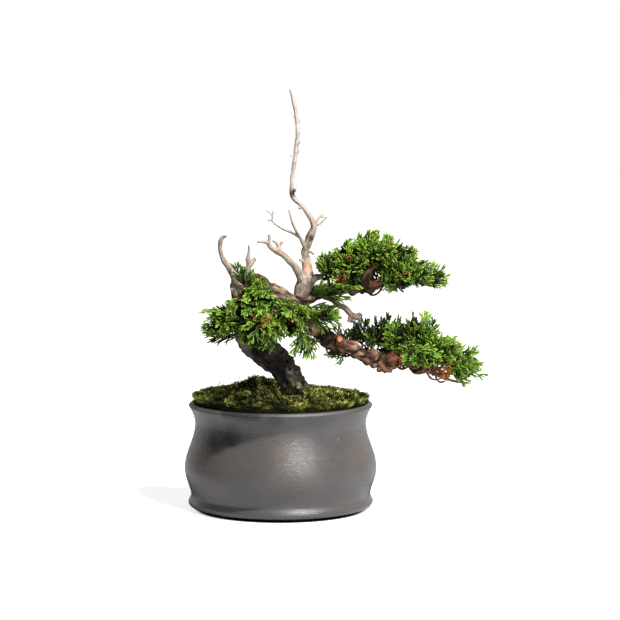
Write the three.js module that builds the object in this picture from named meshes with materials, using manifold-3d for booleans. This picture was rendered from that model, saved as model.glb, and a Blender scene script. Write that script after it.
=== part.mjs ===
// Juniper bonsai with bleached deadwood, standing in a round stoneware pot.
// Millimetres, +Z up. The origin is the middle of the pot's flat foot, and the tree leans towards +X.
import * as THREE from "three";
import { mergeVertices } from "three/addons/utils/BufferGeometryUtils.js";
import Module from "manifold-3d";

const wasm = await Module();
wasm.setup();

// ---------------------------------------------------------------- Driving dimensions
const CLEARANCE = 0.35; // between two pieces that lie against each other
const SLIVER = 0.04; // cuts leave slivers thinner than this, which are merged into their neighbours

const POT = {
  sides: 32,
  wall: 4.5,
  floor: 7,
  footRadius: 57,
  skirtRadius: 62.6,
  skirtHeight: 2.3,
  flareRadius: 64.7,
  flareHeight: 5,
  waistRadius: 62.8,
  waistHeight: 10,
  bellyRadius: 67.3,
  bellyHeight: 28.8,
  neckRadius: 59.9,
  neckHeight: 60.5,
  rimRadius: 64.3,
  rimHeight: 72.8,
  lipTop: 74.9,
  lipOuter: 62.4,
  lipInner: 60.6,
};
const DRAIN = { count: 3, sides: 12, radius: 5.5, ring: 27, channelWidth: 6, channelDepth: 2 };
const SCREEN = { side: 17, thickness: 1, cells: 2, bar: 1.8 };
const SOIL = { edgeTop: 66, middleTop: 71 };
const MOSS = { edgeTop: 75, plateau: 8.3, moundAt: [-13, 5], mound: 8.5, moundSpread: 12 };
const WIRE_RADIUS = 0.75;
const SHOOT = { radius: 1.1, rise: 2.6, shortest: 1.1, longest: 1.34, spread: 0.5 }; // lengths as shares of the reach
const CORE_SHARE = 0.94; // of a leafy mass's reach: the dense inside that its shoots stand out of

// ---------------------------------------------------------------- Wood: points are [x, y, z, radius]
const trunkLine = [
  [15, 3, 46, 8.5],
  [13.5, 3, 66, 10.2],
  [12.5, 2, 77, 11.2],
  [7, 2, 87.5, 9.8],
  [-0.5, 3, 98.5, 9.3],
  [-10.5, 4, 107.5, 11.2],
  [-19.5, 5, 119, 11],
  [-25, 6, 133, 10],
  [-26.5, 6, 147, 8.6],
  [-28, 5, 155, 7.4],
  [-28.5, 4.5, 161, 5.6],
  [-28.5, 4, 164, 2.4],
];
const branchLine = [
  [-27, 7, 149, 5],
  [-23, 6, 156, 6.4],
  [-16.5, 4, 158, 6.3],
  [-7.5, 2, 152, 5.9],
  [2, 0, 148.5, 5.9],
  [11, -1, 143, 5.9],
  [18, -2, 136, 5.2],
  [24, -2, 127.5, 4.6],
  [31, -1, 120.5, 5.8],
  [39, -3, 116.5, 6],
  [48, -4, 113, 5.1],
  [59, -3, 108.5, 4.7],
  [69, -3, 106.5, 4],
  [79, -3, 105, 3.4],
  [87.5, -2, 102.5, 2.7],
  [97, -2, 99, 2.1],
  [108, -2, 94.5, 1.7],
  [118, -2, 90.5, 1.3],
  [126.5, -2, 88.5, 0.9],
];
const upperBranchLine = [
  [12, -1, 144, 5],
  [19, 0, 148.5, 5],
  [26, 1, 152, 4.7],
  [35.5, 3, 154, 3.8],
  [45, 4.5, 154.5, 3.5],
  [54, 4.5, 155, 3.9],
  [62.5, 3, 156.5, 3.4],
  [71, 1, 159.5, 2.8],
  [80, 0, 160, 2.2],
  [89, 0, 159.5, 1.8],
  [98.5, 0, 158, 1.4],
  [108.5, -1, 156, 0.9],
];
// Short broken stubs, root flares, the sawn-off limb whose pale face looks forward, and thin bare twigs.
const smallWood = [
  [[23, -5, 149, 2.2], [16, -8.5, 148, 1.7], [10.5, -9, 151.5, 0.9]],
  [[39.5, -4, 117, 3.2], [40.5, -9, 117.5, 2.7], [41, -11.5, 118, 2.5]],
  [[68, -3, 106, 2.8], [71.5, -5, 100, 3], [74, -5, 96.5, 1.6]],
  [[16, 0, 84, 6], [20, -3, 79, 5], [25, -6, 73, 3]],
  [[4, 6, 88, 6], [-3, 13, 80, 4.6], [-8, 18, 73, 3]],
  [[82, -4, 104.5, 1.8], [94, -6, 103, 1.3], [105, -6, 99.5, 1.1], [117, -4, 94, 0.9]],
  [[84, -1, 103, 1.8], [95, 2, 98, 1.2], [106, 2, 96, 1.1], [116, 1, 91.5, 0.8]],
];

// ---------------------------------------------------------------- Bleached deadwood
const crownDeadwood = [
  [[14.5, 0, 147, 5.4], [16, 0.5, 153, 6.6], [17.5, 1.5, 159, 6], [18.8, 2, 166, 4.1], [18, 2, 173, 3.3],
    [17.2, 2, 180, 2.7], [19.5, 1.5, 186, 2.6], [22, 1, 192.5, 2.4], [23, 1, 198, 2.2], [21.5, 1, 203, 2.1],
    [18, 2, 208.5, 1.9], [14, 3, 213, 1.7], [10, 4, 216.5, 1.8], [8, 5, 220.5, 2], [8, 5, 225.5, 1.7],
    [9, 5, 235.5, 1.6], [10.5, 4, 249, 1.45], [12, 3, 264.5, 1.35], [10.5, 3, 278.5, 1.35], [9, 3, 286, 1.3],
    [7, 3, 293, 1]],
  [[17, 0, 156, 4.2], [14, -2, 162.5, 3.1], [11.5, -4, 168.5, 2.7], [7, -6, 174, 2.4], [1.5, -8, 179, 2.2],
    [-3, -9, 181.5, 2], [-6.5, -10, 184, 1.7], [-9, -11, 187.5, 1.5], [-13, -12, 188, 1], [-16, -12, 188, 0.7]],
  [[-8.5, -11, 186.5, 1.5], [-7.5, -11, 190, 1.1], [-8, -11, 193, 0.8]],
  [[-1, -8, 180, 1.9], [-1, -7, 184.5, 1.5], [-3, -7, 187, 1], [-5.5, -7, 188.5, 0.7]],
  [[-1, -7, 183.5, 1.3], [0.5, -6, 186.5, 0.9], [1.5, -6, 187.8, 0.7]],
  [[18, 1, 181.5, 1.7], [14.5, -1, 188.5, 1.3], [11.5, -3, 194, 1.1], [8.5, -4, 200.5, 0.9], [7, -5, 206, 0.8],
    [6, -5, 210, 0.7]],
  [[13.8, -1.5, 190, 1], [8, -2, 193.5, 0.9], [2, -1, 196, 0.8], [-3.5, 0, 199.5, 0.75], [-6.5, 0, 202, 0.7],
    [-9, 0, 202, 0.6]],
  [[-6, 0, 201.5, 0.75], [-5.5, 0, 205.5, 0.65], [-7.5, 0, 207.5, 0.6], [-10, 0, 209, 0.5]],
  [[-5.8, 0, 205, 0.6], [-4.5, 0, 209, 0.5]],
  [[22.5, 1, 197, 1.4], [25.5, 2, 202, 1], [28, 3, 205, 0.85], [30.5, 4, 206.5, 0.6]],
  [[27.5, 3, 204.5, 0.75], [31, 3, 204, 0.5]],
  [[17.5, 3, 184, 1.7], [19.5, 6.5, 191, 1.4], [23, 9, 197, 1.1], [27.5, 10, 199, 0.8], [32.5, 11, 203.5, 0.6]],
  [[17.5, 1.5, 180, 1.2], [21, 1, 180, 0.9], [23.5, 1, 178, 0.6]],
  [[17, 1, 173, 1.3], [13.2, -1, 174.5, 0.9]],
  [[18, 3, 158, 5], [24, 3, 161.5, 3], [30, 4, 162.5, 1.6]],
];
const hookDeadwood = [
  [[-27, 4, 155, 6.6], [-29.5, 4, 160.5, 6], [-31.8, 4, 163.5, 4.1], [-33.8, 4, 166, 2.9], [-36.5, 3, 170, 2.2],
    [-39.5, 2, 174, 1.9], [-41.5, 2, 179, 1.75], [-42, 2, 184, 1.65], [-41.5, 1, 188, 1.65], [-40, 1, 190.2, 1.4],
    [-37.5, 0, 191, 0.9]],
  [[-28, 4, 157, 6], [-25, 4, 161, 4.8], [-23.5, 3.5, 165, 2.8], [-22.6, 3, 169, 1.7], [-22.6, 3, 175, 1.5],
    [-22, 3, 179.5, 1], [-22, 3, 184.5, 0.7]],
  [[-22.5, 3.5, 168, 1.8], [-20, 5, 172.5, 1.9], [-17.5, 6, 175, 1.2]],
  [[-22.6, 3, 174, 1.5], [-24.6, 2.5, 174.8, 0.8]],
];
const sideDeadwood = [
  [[26.5, 3, 150.5, 2.4], [32, 5, 148, 2.2], [37, 2.5, 146, 2], [40.5, 1, 143, 1.9], [45.5, 0, 140.5, 1.75],
    [49, 0, 136.5, 1.75], [52.5, 0, 135, 1.5], [55, 0, 136.5, 0.9]],
  [[52, 0, 135.2, 1.3], [56, 0, 132.5, 0.8]],
  [[49, 0, 137, 1.5], [50, 1, 130.5, 1]],
];

// ---------------------------------------------------------------- Leafy masses
// Each grows on a twig of its own: [name, root in the wood, heart of the mass, its reach along x, y and z].
const leafyShoots = [
  ["left_tip", [-25, 5, 134], [-41, -8, 132], [13.5, 15, 10.5]],
  ["left_shoulder", [-24, 4, 144], [-26, -18, 140], [13.5, 14, 12.5]],
  ["left_crest", [-15, 3, 156], [-13, -18, 148], [12, 14, 12.5]],
  ["left_brow", [-24, 4, 153], [-24, -13, 161], [6.5, 7, 9]],
  ["left_low", [-7, 2, 151], [-13, -24, 126], [15.5, 15, 10.5]],
  ["left_mid", [4, 0, 147], [5, -20, 134.5], [13.5, 14, 12]],
  ["left_inner", [14, -1, 140], [17.5, -14, 129.5], [10.5, 11, 12]],
  ["left_hanging", [19.5, -2, 133.5], [18, -10, 115.5], [7.5, 8, 8]],
  ["left_rear", [-24, 8, 140], [-32, 20, 129], [14.5, 14, 9.5]],
  ["left_rear_middle", [-4, 3, 150], [-4, 24, 129], [14, 14, 10.5]],
  ["upper_heel", [33, 3, 154], [35.5, -4, 172], [11.5, 14, 9]],
  ["upper_left", [44, 4.5, 155], [49.5, -4, 178], [13, 16, 12]],
  ["upper_crown", [60, 3, 157], [67, -2, 183], [15.5, 18, 12.5]],
  ["upper_shoulder", [72, 1, 160], [82.5, -6, 175], [13.5, 17, 12]],
  ["upper_right", [88, 0, 160], [96.5, -4, 167], [12, 15, 9]],
  ["upper_tip", [100, 0, 158], [108.5, -2, 162.5], [8, 9, 6]],
  ["upper_low", [75, 1, 160], [81, -10, 160], [12, 10, 6]],
  ["upper_front", [48, 4.5, 155], [48, -16, 163], [12, 12, 7]],
  ["upper_rear", [52, 5, 155], [55.5, 24, 171], [14.5, 14, 10]],
  ["upper_rear_right", [78, 1, 160], [82, 20, 167], [13.5, 14, 9]],
  ["centre_high", [24, 1, 151], [37, -15, 152.5], [11, 11, 6.5]],
  ["centre_low", [19, -2, 134.5], [33.5, -13, 138], [10.5, 11, 7]],
  ["under_branch", [35, -1, 118], [39, 9, 106.5], [8.5, 9, 4]],
  ["lower_heel", [45, -4, 114.5], [53, 8, 121.5], [10, 11, 8]],
  ["lower_left", [62, -3, 108], [68, 5, 123], [11, 13, 10]],
  ["lower_middle", [76, -3, 105.5], [82, -4, 123], [11, 13, 10.5]],
  ["lower_crown", [86, -2, 103], [99, 3, 123.5], [12, 14, 13]],
  ["lower_shoulder", [100, -2, 98], [113.5, -8, 112.5], [13, 14, 11]],
  ["lower_tip", [112, -2, 93], [127.5, -2, 102.5], [12, 13, 11]],
  ["lower_front", [90, -2, 102], [99, -15, 109.5], [14, 11, 6.5]],
  ["lower_rear", [72, -3, 106.5], [85, 20, 112], [14, 14, 9]],
  ["lower_rear_tip", [96, -2, 99.5], [112, 22, 108], [14, 14, 9.5]],
];

// ---------------------------------------------------------------- Helpers
const point = ([x, y, z]) => new THREE.Vector3(x, y, z);

// A three.js geometry as a closed solid that can be joined and cut.
function solidOf(geometry) {
  geometry.deleteAttribute("normal");
  geometry.deleteAttribute("uv");
  const merged = mergeVertices(geometry, 1e-4);
  return new wasm.Manifold(
    new wasm.Mesh({
      numProp: 3,
      vertProperties: merged.attributes.position.array,
      triVerts: new Uint32Array(merged.index.array),
    }),
  );
}

function geometryOf(solid) {
  const { numProp, vertProperties, triVerts } = solid.getMesh();
  const positions = new Float32Array((vertProperties.length / numProp) * 3);
  for (let i = 0; i < positions.length / 3; i++)
    positions.set(vertProperties.subarray(i * numProp, i * numProp + 3), i * 3);
  const geometry = new THREE.BufferGeometry();
  geometry.setAttribute("position", new THREE.BufferAttribute(positions, 3));
  geometry.setIndex(new THREE.BufferAttribute(new Uint32Array(triVerts), 1));
  geometry.computeVertexNormals();
  return geometry;
}

const fuse = (solids) => wasm.Manifold.union(solids);

// The largest body of a solid: slivers are merged, and what a cut leaves loose is dropped.
function largest(solid) {
  const bodies = solid.simplify(SLIVER).decompose();
  return bodies.reduce((a, b) => (a.volume() > b.volume() ? a : b));
}

// A profile of [radius, height] pairs that starts and ends on the axis, turned about +Z.
function turned(profile, sides) {
  const outline = profile.map(([radius, height]) => new THREE.Vector2(radius, height));
  return new THREE.LatheGeometry(outline, sides).rotateX(Math.PI / 2);
}

// Seeded draws, so that the tree is the same each time.
function drawsFrom(seed) {
  let state = seed >>> 0;
  return () => {
    state = (state + 0x6d2b79f5) >>> 0;
    let t = Math.imul(state ^ (state >>> 15), 1 | state);
    t = (t + Math.imul(t ^ (t >>> 7), 61 | t)) ^ t;
    return ((t ^ (t >>> 14)) >>> 0) / 4294967296;
  };
}

// A tapering limb: a cylinder whose rings follow a smooth line through [x, y, z, radius] points.
// grow fattens it, for the hollow that it leaves in a neighbour, and flutes gives it lengthwise ribs.
function limb(points, sides, steps, grow = 0, flutes = 0) {
  const line = new THREE.CatmullRomCurve3(points.map(point), false, "centripetal");
  const frames = [];
  let across = null;
  for (let i = 0; i <= steps; i++) {
    const along = line.getTangent(i / steps);
    if (!across) across = new THREE.Vector3(0, 1, 0.3).cross(along);
    across = across.clone().addScaledVector(along, -across.dot(along)).normalize();
    const at = (i / steps) * (points.length - 1);
    const before = Math.min(Math.floor(at), points.length - 2);
    const radius = THREE.MathUtils.lerp(points[before][3], points[before + 1][3], at - before) + grow;
    frames.push({ centre: line.getPoint(i / steps), across, other: across.clone().cross(along), radius });
  }
  const geometry = new THREE.CylinderGeometry(1, 1, 1, sides, steps);
  const vertices = geometry.attributes.position;
  for (let i = 0; i < vertices.count; i++) {
    const ring = Math.round((vertices.getY(i) + 0.5) * steps);
    const { centre, across: u, other: v, radius } = frames[ring];
    const angle = Math.atan2(vertices.getZ(i), vertices.getX(i));
    const rib = 1 + flutes * (Math.sin(3 * angle + ring * 0.7) + 0.6 * Math.sin(5 * angle - ring * 1.3));
    const spot = centre
      .clone()
      .addScaledVector(u, vertices.getX(i) * radius * rib)
      .addScaledVector(v, vertices.getZ(i) * radius * rib);
    vertices.setXYZ(i, spot.x, spot.y, spot.z);
  }
  return solidOf(geometry);
}

// ---------------------------------------------------------------- Pot
const eased = (from, to, share) => from + ((to - from) * (1 - Math.cos(Math.PI * share))) / 2;

// The outside radius of the pot from its flared foot to its rim.
function potRadius(height) {
  const share = (low, high) => (height - low) / (high - low);
  if (height >= POT.neckHeight)
    return POT.neckRadius + (POT.rimRadius - POT.neckRadius) * share(POT.neckHeight, POT.rimHeight) ** 1.7;
  if (height >= POT.bellyHeight)
    return eased(POT.bellyRadius, POT.neckRadius, share(POT.bellyHeight, POT.neckHeight));
  if (height >= POT.waistHeight)
    return eased(POT.waistRadius, POT.bellyRadius, share(POT.waistHeight, POT.bellyHeight) ** 0.85);
  return eased(POT.flareRadius, POT.waistRadius, share(POT.flareHeight, POT.waistHeight));
}

// Heights at which the pot's outside bends, with the given number of steps between them.
function heightsBetween(low, high, steps) {
  return Array.from({ length: steps }, (_, i) => low + ((high - low) * i) / steps);
}
const innerHeights = [POT.floor + 2, POT.bellyHeight, 46, POT.neckHeight, SOIL.edgeTop];
const innerWall = innerHeights.map((height) => [potRadius(Math.max(height, POT.waistHeight)) - POT.wall, height]);

function drainPlaces() {
  return Array.from({ length: DRAIN.count }, (_, i) => {
    const angle = Math.PI / 2 + (i * 2 * Math.PI) / DRAIN.count;
    return { angle, x: DRAIN.ring * Math.cos(angle), y: DRAIN.ring * Math.sin(angle) };
  });
}

function makePot() {
  const outside = [
    ...heightsBetween(POT.flareHeight, POT.waistHeight, 2),
    ...heightsBetween(POT.waistHeight, POT.bellyHeight, 3),
    ...heightsBetween(POT.bellyHeight, POT.neckHeight, 4),
    ...heightsBetween(POT.neckHeight, POT.rimHeight, 2),
    POT.rimHeight,
  ].map((height) => [potRadius(height), height]);
  const profile = [
    [0, 0],
    [POT.footRadius, 0],
    [POT.footRadius + 0.5, POT.skirtHeight + 0.3],
    [POT.skirtRadius, POT.skirtHeight],
    ...outside,
    [POT.lipOuter, POT.lipTop],
    [POT.lipInner, POT.lipTop - 0.4],
    ...innerWall.slice().reverse(),
    [innerWall[0][0] - 4, POT.floor],
    [0, POT.floor],
  ];
  let pot = solidOf(turned(profile, POT.sides));
  for (const { angle, x, y } of drainPlaces()) {
    const hole = new THREE.CylinderGeometry(DRAIN.radius, DRAIN.radius, 3 * POT.floor, DRAIN.sides);
    const channel = new THREE.BoxGeometry(2 * DRAIN.ring, DRAIN.channelWidth, 2 * DRAIN.channelDepth)
      .translate(2 * DRAIN.ring, 0, 0)
      .rotateZ(angle);
    pot = pot.subtract(solidOf(hole.rotateX(Math.PI / 2).translate(x, y, 0)));
    pot = pot.subtract(solidOf(channel));
  }
  return pot;
}

// A square of plastic mesh that keeps the soil in over one drain hole.
function makeScreen({ angle, x, y }) {
  const pitch = (SCREEN.side - SCREEN.bar) / SCREEN.cells;
  const cell = pitch - SCREEN.bar;
  let screen = solidOf(new THREE.BoxGeometry(SCREEN.side, SCREEN.side, SCREEN.thickness));
  for (let i = 0; i < SCREEN.cells; i++)
    for (let j = 0; j < SCREEN.cells; j++) {
      const [across, along] = [i, j].map((step) => (step - (SCREEN.cells - 1) / 2) * pitch);
      const hole = new THREE.BoxGeometry(cell, cell, 2 * SCREEN.thickness).translate(across, along, 0);
      screen = screen.subtract(solidOf(hole));
    }
  const height = POT.floor + CLEARANCE + SCREEN.thickness / 2;
  return screen.rotate([0, 0, THREE.MathUtils.radToDeg(angle)]).translate([x, y, height]);
}

// ---------------------------------------------------------------- Soil and moss
function makeSoil(rootHollow) {
  const bottom = POT.floor + CLEARANCE;
  const wall = innerWall.map(([radius, height]) => [radius - CLEARANCE, height]);
  const profile = [[0, bottom], [wall[0][0] - 5, bottom], ...wall, [30, SOIL.middleTop - 1], [0, SOIL.middleTop]];
  let soil = solidOf(turned(profile, POT.sides)).subtract(rootHollow);
  for (const { angle, x, y } of drainPlaces()) {
    const side = SCREEN.side + 2 * CLEARANCE;
    const height = 2 * (SCREEN.thickness + 2 * CLEARANCE);
    const pocket = new THREE.BoxGeometry(side, side, height).rotateZ(angle).translate(x, y, POT.floor);
    soil = soil.subtract(solidOf(pocket));
  }
  return soil;
}

// The moss is a low dome with a mound beside the trunk, lumpy all over like cushions that grew together.
function mossHeight(x, y) {
  const edge = Math.min(1, Math.hypot(x, y) / POT.lipInner);
  const [moundX, moundY] = MOSS.moundAt;
  const fromMound = Math.hypot(x - moundX, (y - moundY) * 0.8) / MOSS.moundSpread;
  const dome = Math.sqrt(1 - edge ** 6);
  const lumps = 0.9 * Math.sin(x / 4.3 + 0.8) * Math.cos(y / 5.1 + 0.4) + 0.7 * Math.sin(x / 9 - y / 7 + 1.1);
  return (
    MOSS.edgeTop + dome * (MOSS.plateau - 0.022 * x + lumps) + MOSS.mound * dome * Math.exp(-(fromMound ** 2) / 2)
  );
}

function makeMoss(rootHollow) {
  const edge = POT.lipInner - CLEARANCE - 0.4;
  const neck = potRadius(SOIL.edgeTop) - POT.wall - CLEARANCE;
  const ringRadii = [1, 0.94, 0.82, 0.64, 0.42, 0.2].map((share) => share * edge);
  const profile = [
    [0, SOIL.middleTop + CLEARANCE],
    [30, SOIL.middleTop - 1 + CLEARANCE],
    [neck, SOIL.edgeTop + CLEARANCE],
    [edge, MOSS.edgeTop - 1.6],
    ...ringRadii.map((radius) => [radius, MOSS.edgeTop]),
    [0, MOSS.edgeTop],
  ];
  const geometry = turned(profile, POT.sides);
  const vertices = geometry.attributes.position;
  for (let i = 0; i < vertices.count; i++)
    if (Math.abs(vertices.getZ(i) - MOSS.edgeTop) < 1e-3)
      vertices.setZ(i, mossHeight(vertices.getX(i), vertices.getY(i)));
  return solidOf(geometry).subtract(rootHollow);
}

// ---------------------------------------------------------------- Living wood
// The twig that carries a leafy mass: it leaves the wood, dips or lifts, and ends short of the heart.
function twigTo([, root, heart]) {
  const [from, to] = [point(root), point(heart)];
  const middle = from.clone().lerp(to, 0.5).add(new THREE.Vector3(0, 0, -1.5));
  const end = from.clone().lerp(to, 0.8);
  return [
    [...from, 2.3],
    [...middle, 1.5],
    [...end, 1],
  ];
}

function makeWood(grow = 0) {
  return fuse([
    limb(trunkLine, 8, 16, grow, 0.035),
    limb(branchLine, 6, 24, grow, 0.03),
    limb(upperBranchLine, 5, 12, grow, 0.03),
    ...smallWood.map((points) => limb(points, 5, points.length, grow)),
    ...leafyShoots.map((shoot) => limb(twigTo(shoot), 3, 2, grow)),
  ]);
}

function makeDeadwood(limbs, grow = 0) {
  return fuse(limbs.map((points, i) => limb(points, i ? 4 : 6, points.length - 1, grow)));
}

// ---------------------------------------------------------------- Training wire
// A helix of wire laid round a stretch of a limb, turn by turn, just clear of the bark.
class WireCurve extends THREE.Curve {
  constructor(points, from, to, turns, phase) {
    super();
    this.points = points;
    this.line = new THREE.CatmullRomCurve3(points.map(point), false, "centripetal");
    Object.assign(this, { from, to, turns, phase });
  }

  getPoint(t, target = new THREE.Vector3()) {
    const share = this.from + (this.to - this.from) * t;
    const at = share * (this.points.length - 1);
    const before = Math.min(Math.floor(at), this.points.length - 2);
    const bark = THREE.MathUtils.lerp(this.points[before][3], this.points[before + 1][3], at - before) * 1.05;
    const along = this.line.getTangent(share);
    const across = new THREE.Vector3(0, 1, 0).addScaledVector(along, -along.y).normalize();
    const other = across.clone().cross(along);
    const angle = this.phase + this.turns * 2 * Math.PI * t;
    const reach = bark + CLEARANCE + WIRE_RADIUS;
    return target
      .copy(this.line.getPoint(share))
      .addScaledVector(across, reach * Math.cos(angle))
      .addScaledVector(other, reach * Math.sin(angle));
  }
}

const wires = {
  wire_lower_branch: new WireCurve(branchLine, 0.475, 0.86, 4.2, 2.6),
  wire_upper_branch: new WireCurve(upperBranchLine, 0.3, 0.86, 3.6, 0.6),
};

function makeWire(curve, grow = 0) {
  const radius = WIRE_RADIUS + grow;
  const section = new THREE.Shape(
    Array.from({ length: 4 }, (_, i) => {
      const angle = (i * Math.PI) / 2;
      return new THREE.Vector2(radius * Math.cos(angle), radius * Math.sin(angle));
    }),
  );
  const steps = Math.round(curve.turns * 9);
  return solidOf(new THREE.ExtrudeGeometry(section, { steps, extrudePath: curve, bevelEnabled: false }));
}

// ---------------------------------------------------------------- Foliage
// The flat limits between one leafy mass and each other, set so that the larger mass keeps more room.
function limitsOf([, , heart, reach], others) {
  const middle = point(heart);
  return others.map(([, , otherHeart, otherReach]) => {
    const between = point(otherHeart).sub(middle);
    const way = between.clone().normalize();
    const own = new THREE.Vector3(...reach).multiply(way).length();
    const share = own / (own + new THREE.Vector3(...otherReach).multiply(way).length());
    return { way, room: between.length() * share - CLEARANCE };
  });
}

// The spot at an offset from the heart, or as far towards it as the limits let it go.
function withinLimits(middle, offset, limits) {
  const share = limits.reduce((least, { way, room }) => {
    const onward = offset.dot(way);
    return onward > room ? Math.min(least, room / onward) : least;
  }, 1);
  return middle.clone().addScaledVector(offset, share);
}

// One leafy mass: a lumpy egg whose faces rise into tufts, each with a pointed shoot, where there is room for one.
function leafyMass([, root, heart, reach], limits, index) {
  const draw = drawsFrom(977 * (index + 1));
  const [middle, reaches] = [point(heart), new THREE.Vector3(...reach)];
  const onward = middle.clone().sub(point(root)).normalize();
  const egg = new THREE.OctahedronGeometry(1, 1).rotateX(0.4 + index).rotateZ(0.3 * index);
  egg.deleteAttribute("normal");
  egg.deleteAttribute("uv");
  const faces = mergeVertices(egg, 1e-4);
  const corners = Array.from({ length: faces.attributes.position.count }, (_, i) => {
    const way = new THREE.Vector3().fromBufferAttribute(faces.attributes.position, i).multiply(reaches);
    return withinLimits(middle, way.multiplyScalar(CORE_SHARE * (0.86 + 0.28 * draw())), limits);
  });
  const triangles = [];
  for (let i = 0; i < faces.index.count; i += 3) {
    const face = [0, 1, 2].map((k) => faces.index.getX(i + k));
    const [a, b, c] = face.map((corner) => corners[corner]);
    const centre = a.clone().add(b).add(c).divideScalar(3);
    const way = centre.clone().sub(middle).divide(reaches).normalize();
    way.addScaledVector(onward, 0.25).add(
      new THREE.Vector3(draw() - 0.5, draw() - 0.5, draw() - 0.4).multiplyScalar(SHOOT.spread),
    );
    const length = THREE.MathUtils.lerp(SHOOT.shortest, SHOOT.longest, draw());
    const tip = withinLimits(middle, way.normalize().multiply(reaches).multiplyScalar(length), limits);
    const radius = Math.max(...[a, b, c].map((corner) => corner.distanceTo(centre)));
    const normal = b.clone().sub(a).cross(c.clone().sub(a)).normalize();
    if (tip.clone().sub(centre).dot(normal) < 1.5 * SHOOT.radius || radius < 1.3 * SHOOT.radius) {
      triangles.push([a, b, c]);
      continue;
    }
    const foot = centre.clone().lerp(tip, Math.min(0.55, SHOOT.rise / tip.distanceTo(centre)));
    const [p, q, r] = [a, b, c].map((corner) =>
      foot.clone().addScaledVector(corner.clone().sub(centre), SHOOT.radius / radius),
    );
    triangles.push([a, b, q], [a, q, p], [b, c, r], [b, r, q], [c, a, p], [c, p, r]);
    triangles.push([p, q, tip], [q, r, tip], [r, p, tip]);
  }
  return solidOf(new THREE.BufferGeometry().setFromPoints(triangles.flat()));
}

function makeFoliage(keepOff) {
  return leafyShoots.map((shoot, index) => {
    const limits = limitsOf(shoot, leafyShoots.filter((other) => other !== shoot));
    return ["foliage_" + shoot[0], leafyMass(shoot, limits, index).subtract(keepOff)];
  });
}

// ---------------------------------------------------------------- Assembly
const finish = (color, roughness, metalness = 0) => new THREE.MeshStandardMaterial({ color, roughness, metalness });
const materials = {
  stoneware: finish(0x55524f, 0.5, 0.1),
  soil: finish(0x6b4a33, 0.95),
  moss: finish(0x5d6b22, 0.9),
  plastic: finish(0x22241f, 0.6),
  bark: finish(0x5a4032, 0.85),
  deadwood: finish(0xc9bcb0, 0.75),
  wire: finish(0x2b211c, 0.45, 0.6),
  foliage: finish(0x4c8a24, 0.6),
};

const bonsai = new THREE.Group();
bonsai.name = "juniper_bonsai";
function place(name, solid, material) {
  const mesh = new THREE.Mesh(geometryOf(largest(solid)), material);
  mesh.name = name;
  bonsai.add(mesh);
}

const rootHollow = fuse([
  limb(trunkLine, 8, 16, CLEARANCE, 0.035),
  ...smallWood.slice(3, 5).map((points) => limb(points, 5, points.length, CLEARANCE)),
]);
place("pot", makePot(), materials.stoneware);
drainPlaces().forEach((spot, i) => place("drain_screen_" + (i + 1), makeScreen(spot), materials.plastic));
place("soil", makeSoil(rootHollow), materials.soil);
place("moss", makeMoss(rootHollow), materials.moss);

// The wire bites a little into the bark where a twig leaves the branch beside it.
const grownWires = fuse(Object.values(wires).map((curve) => makeWire(curve, CLEARANCE)));
const grownWood = makeWood(CLEARANCE);
place("trunk", makeWood().subtract(grownWires), materials.bark);
for (const [name, curve] of Object.entries(wires)) place(name, makeWire(curve), materials.wire);

const deadwood = { deadwood_crown: crownDeadwood, deadwood_hook: hookDeadwood, deadwood_side: sideDeadwood };
for (const [name, limbs] of Object.entries(deadwood))
  place(name, makeDeadwood(limbs).subtract(grownWood).subtract(grownWires), materials.deadwood);
const grownDeadwood = fuse(Object.values(deadwood).map((limbs) => makeDeadwood(limbs, CLEARANCE)));

const foliage = makeFoliage(fuse([grownWood, grownDeadwood, grownWires]));
for (const [name, solid] of foliage) place(name, solid, materials.foliage);

export default bonsai;
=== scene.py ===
# %% [markdown]
# # A juniper bonsai with bleached deadwood, in a round stoneware pot
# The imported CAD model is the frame: every piece here sits where its CAD node sits. The tree is drawn in
# millimetres, because that is the scale a grower thinks in, and becomes metres when a mesh is made.

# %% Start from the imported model
import math
import random

import bpy
import numpy as np
from mathutils import Matrix, Vector, noise


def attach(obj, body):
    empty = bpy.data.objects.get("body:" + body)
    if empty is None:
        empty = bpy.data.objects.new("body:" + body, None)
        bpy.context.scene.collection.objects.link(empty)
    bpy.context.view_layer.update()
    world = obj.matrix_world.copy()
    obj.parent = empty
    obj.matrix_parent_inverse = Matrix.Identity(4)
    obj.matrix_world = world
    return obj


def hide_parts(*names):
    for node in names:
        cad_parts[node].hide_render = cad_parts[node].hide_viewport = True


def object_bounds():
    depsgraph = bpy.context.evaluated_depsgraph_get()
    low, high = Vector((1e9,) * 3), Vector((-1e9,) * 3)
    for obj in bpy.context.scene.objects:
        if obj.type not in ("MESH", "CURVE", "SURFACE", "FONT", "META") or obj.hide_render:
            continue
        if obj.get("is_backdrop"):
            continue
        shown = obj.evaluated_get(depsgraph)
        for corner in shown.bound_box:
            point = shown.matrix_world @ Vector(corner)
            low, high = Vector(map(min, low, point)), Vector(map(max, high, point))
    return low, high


MM = 0.001
CLEARANCE = 0.35  # the CAD model's gap between pieces that touch, in mm
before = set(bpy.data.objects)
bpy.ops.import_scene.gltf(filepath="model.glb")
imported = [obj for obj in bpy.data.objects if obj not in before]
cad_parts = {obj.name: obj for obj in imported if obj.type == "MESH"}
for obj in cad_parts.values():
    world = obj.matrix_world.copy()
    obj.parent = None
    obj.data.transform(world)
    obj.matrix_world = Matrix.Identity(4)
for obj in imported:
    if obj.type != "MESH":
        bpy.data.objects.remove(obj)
cad_box = [list(corner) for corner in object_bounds()]
print("CAD box in metres:", [[round(value, 3) for value in corner] for corner in cad_box])

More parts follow.
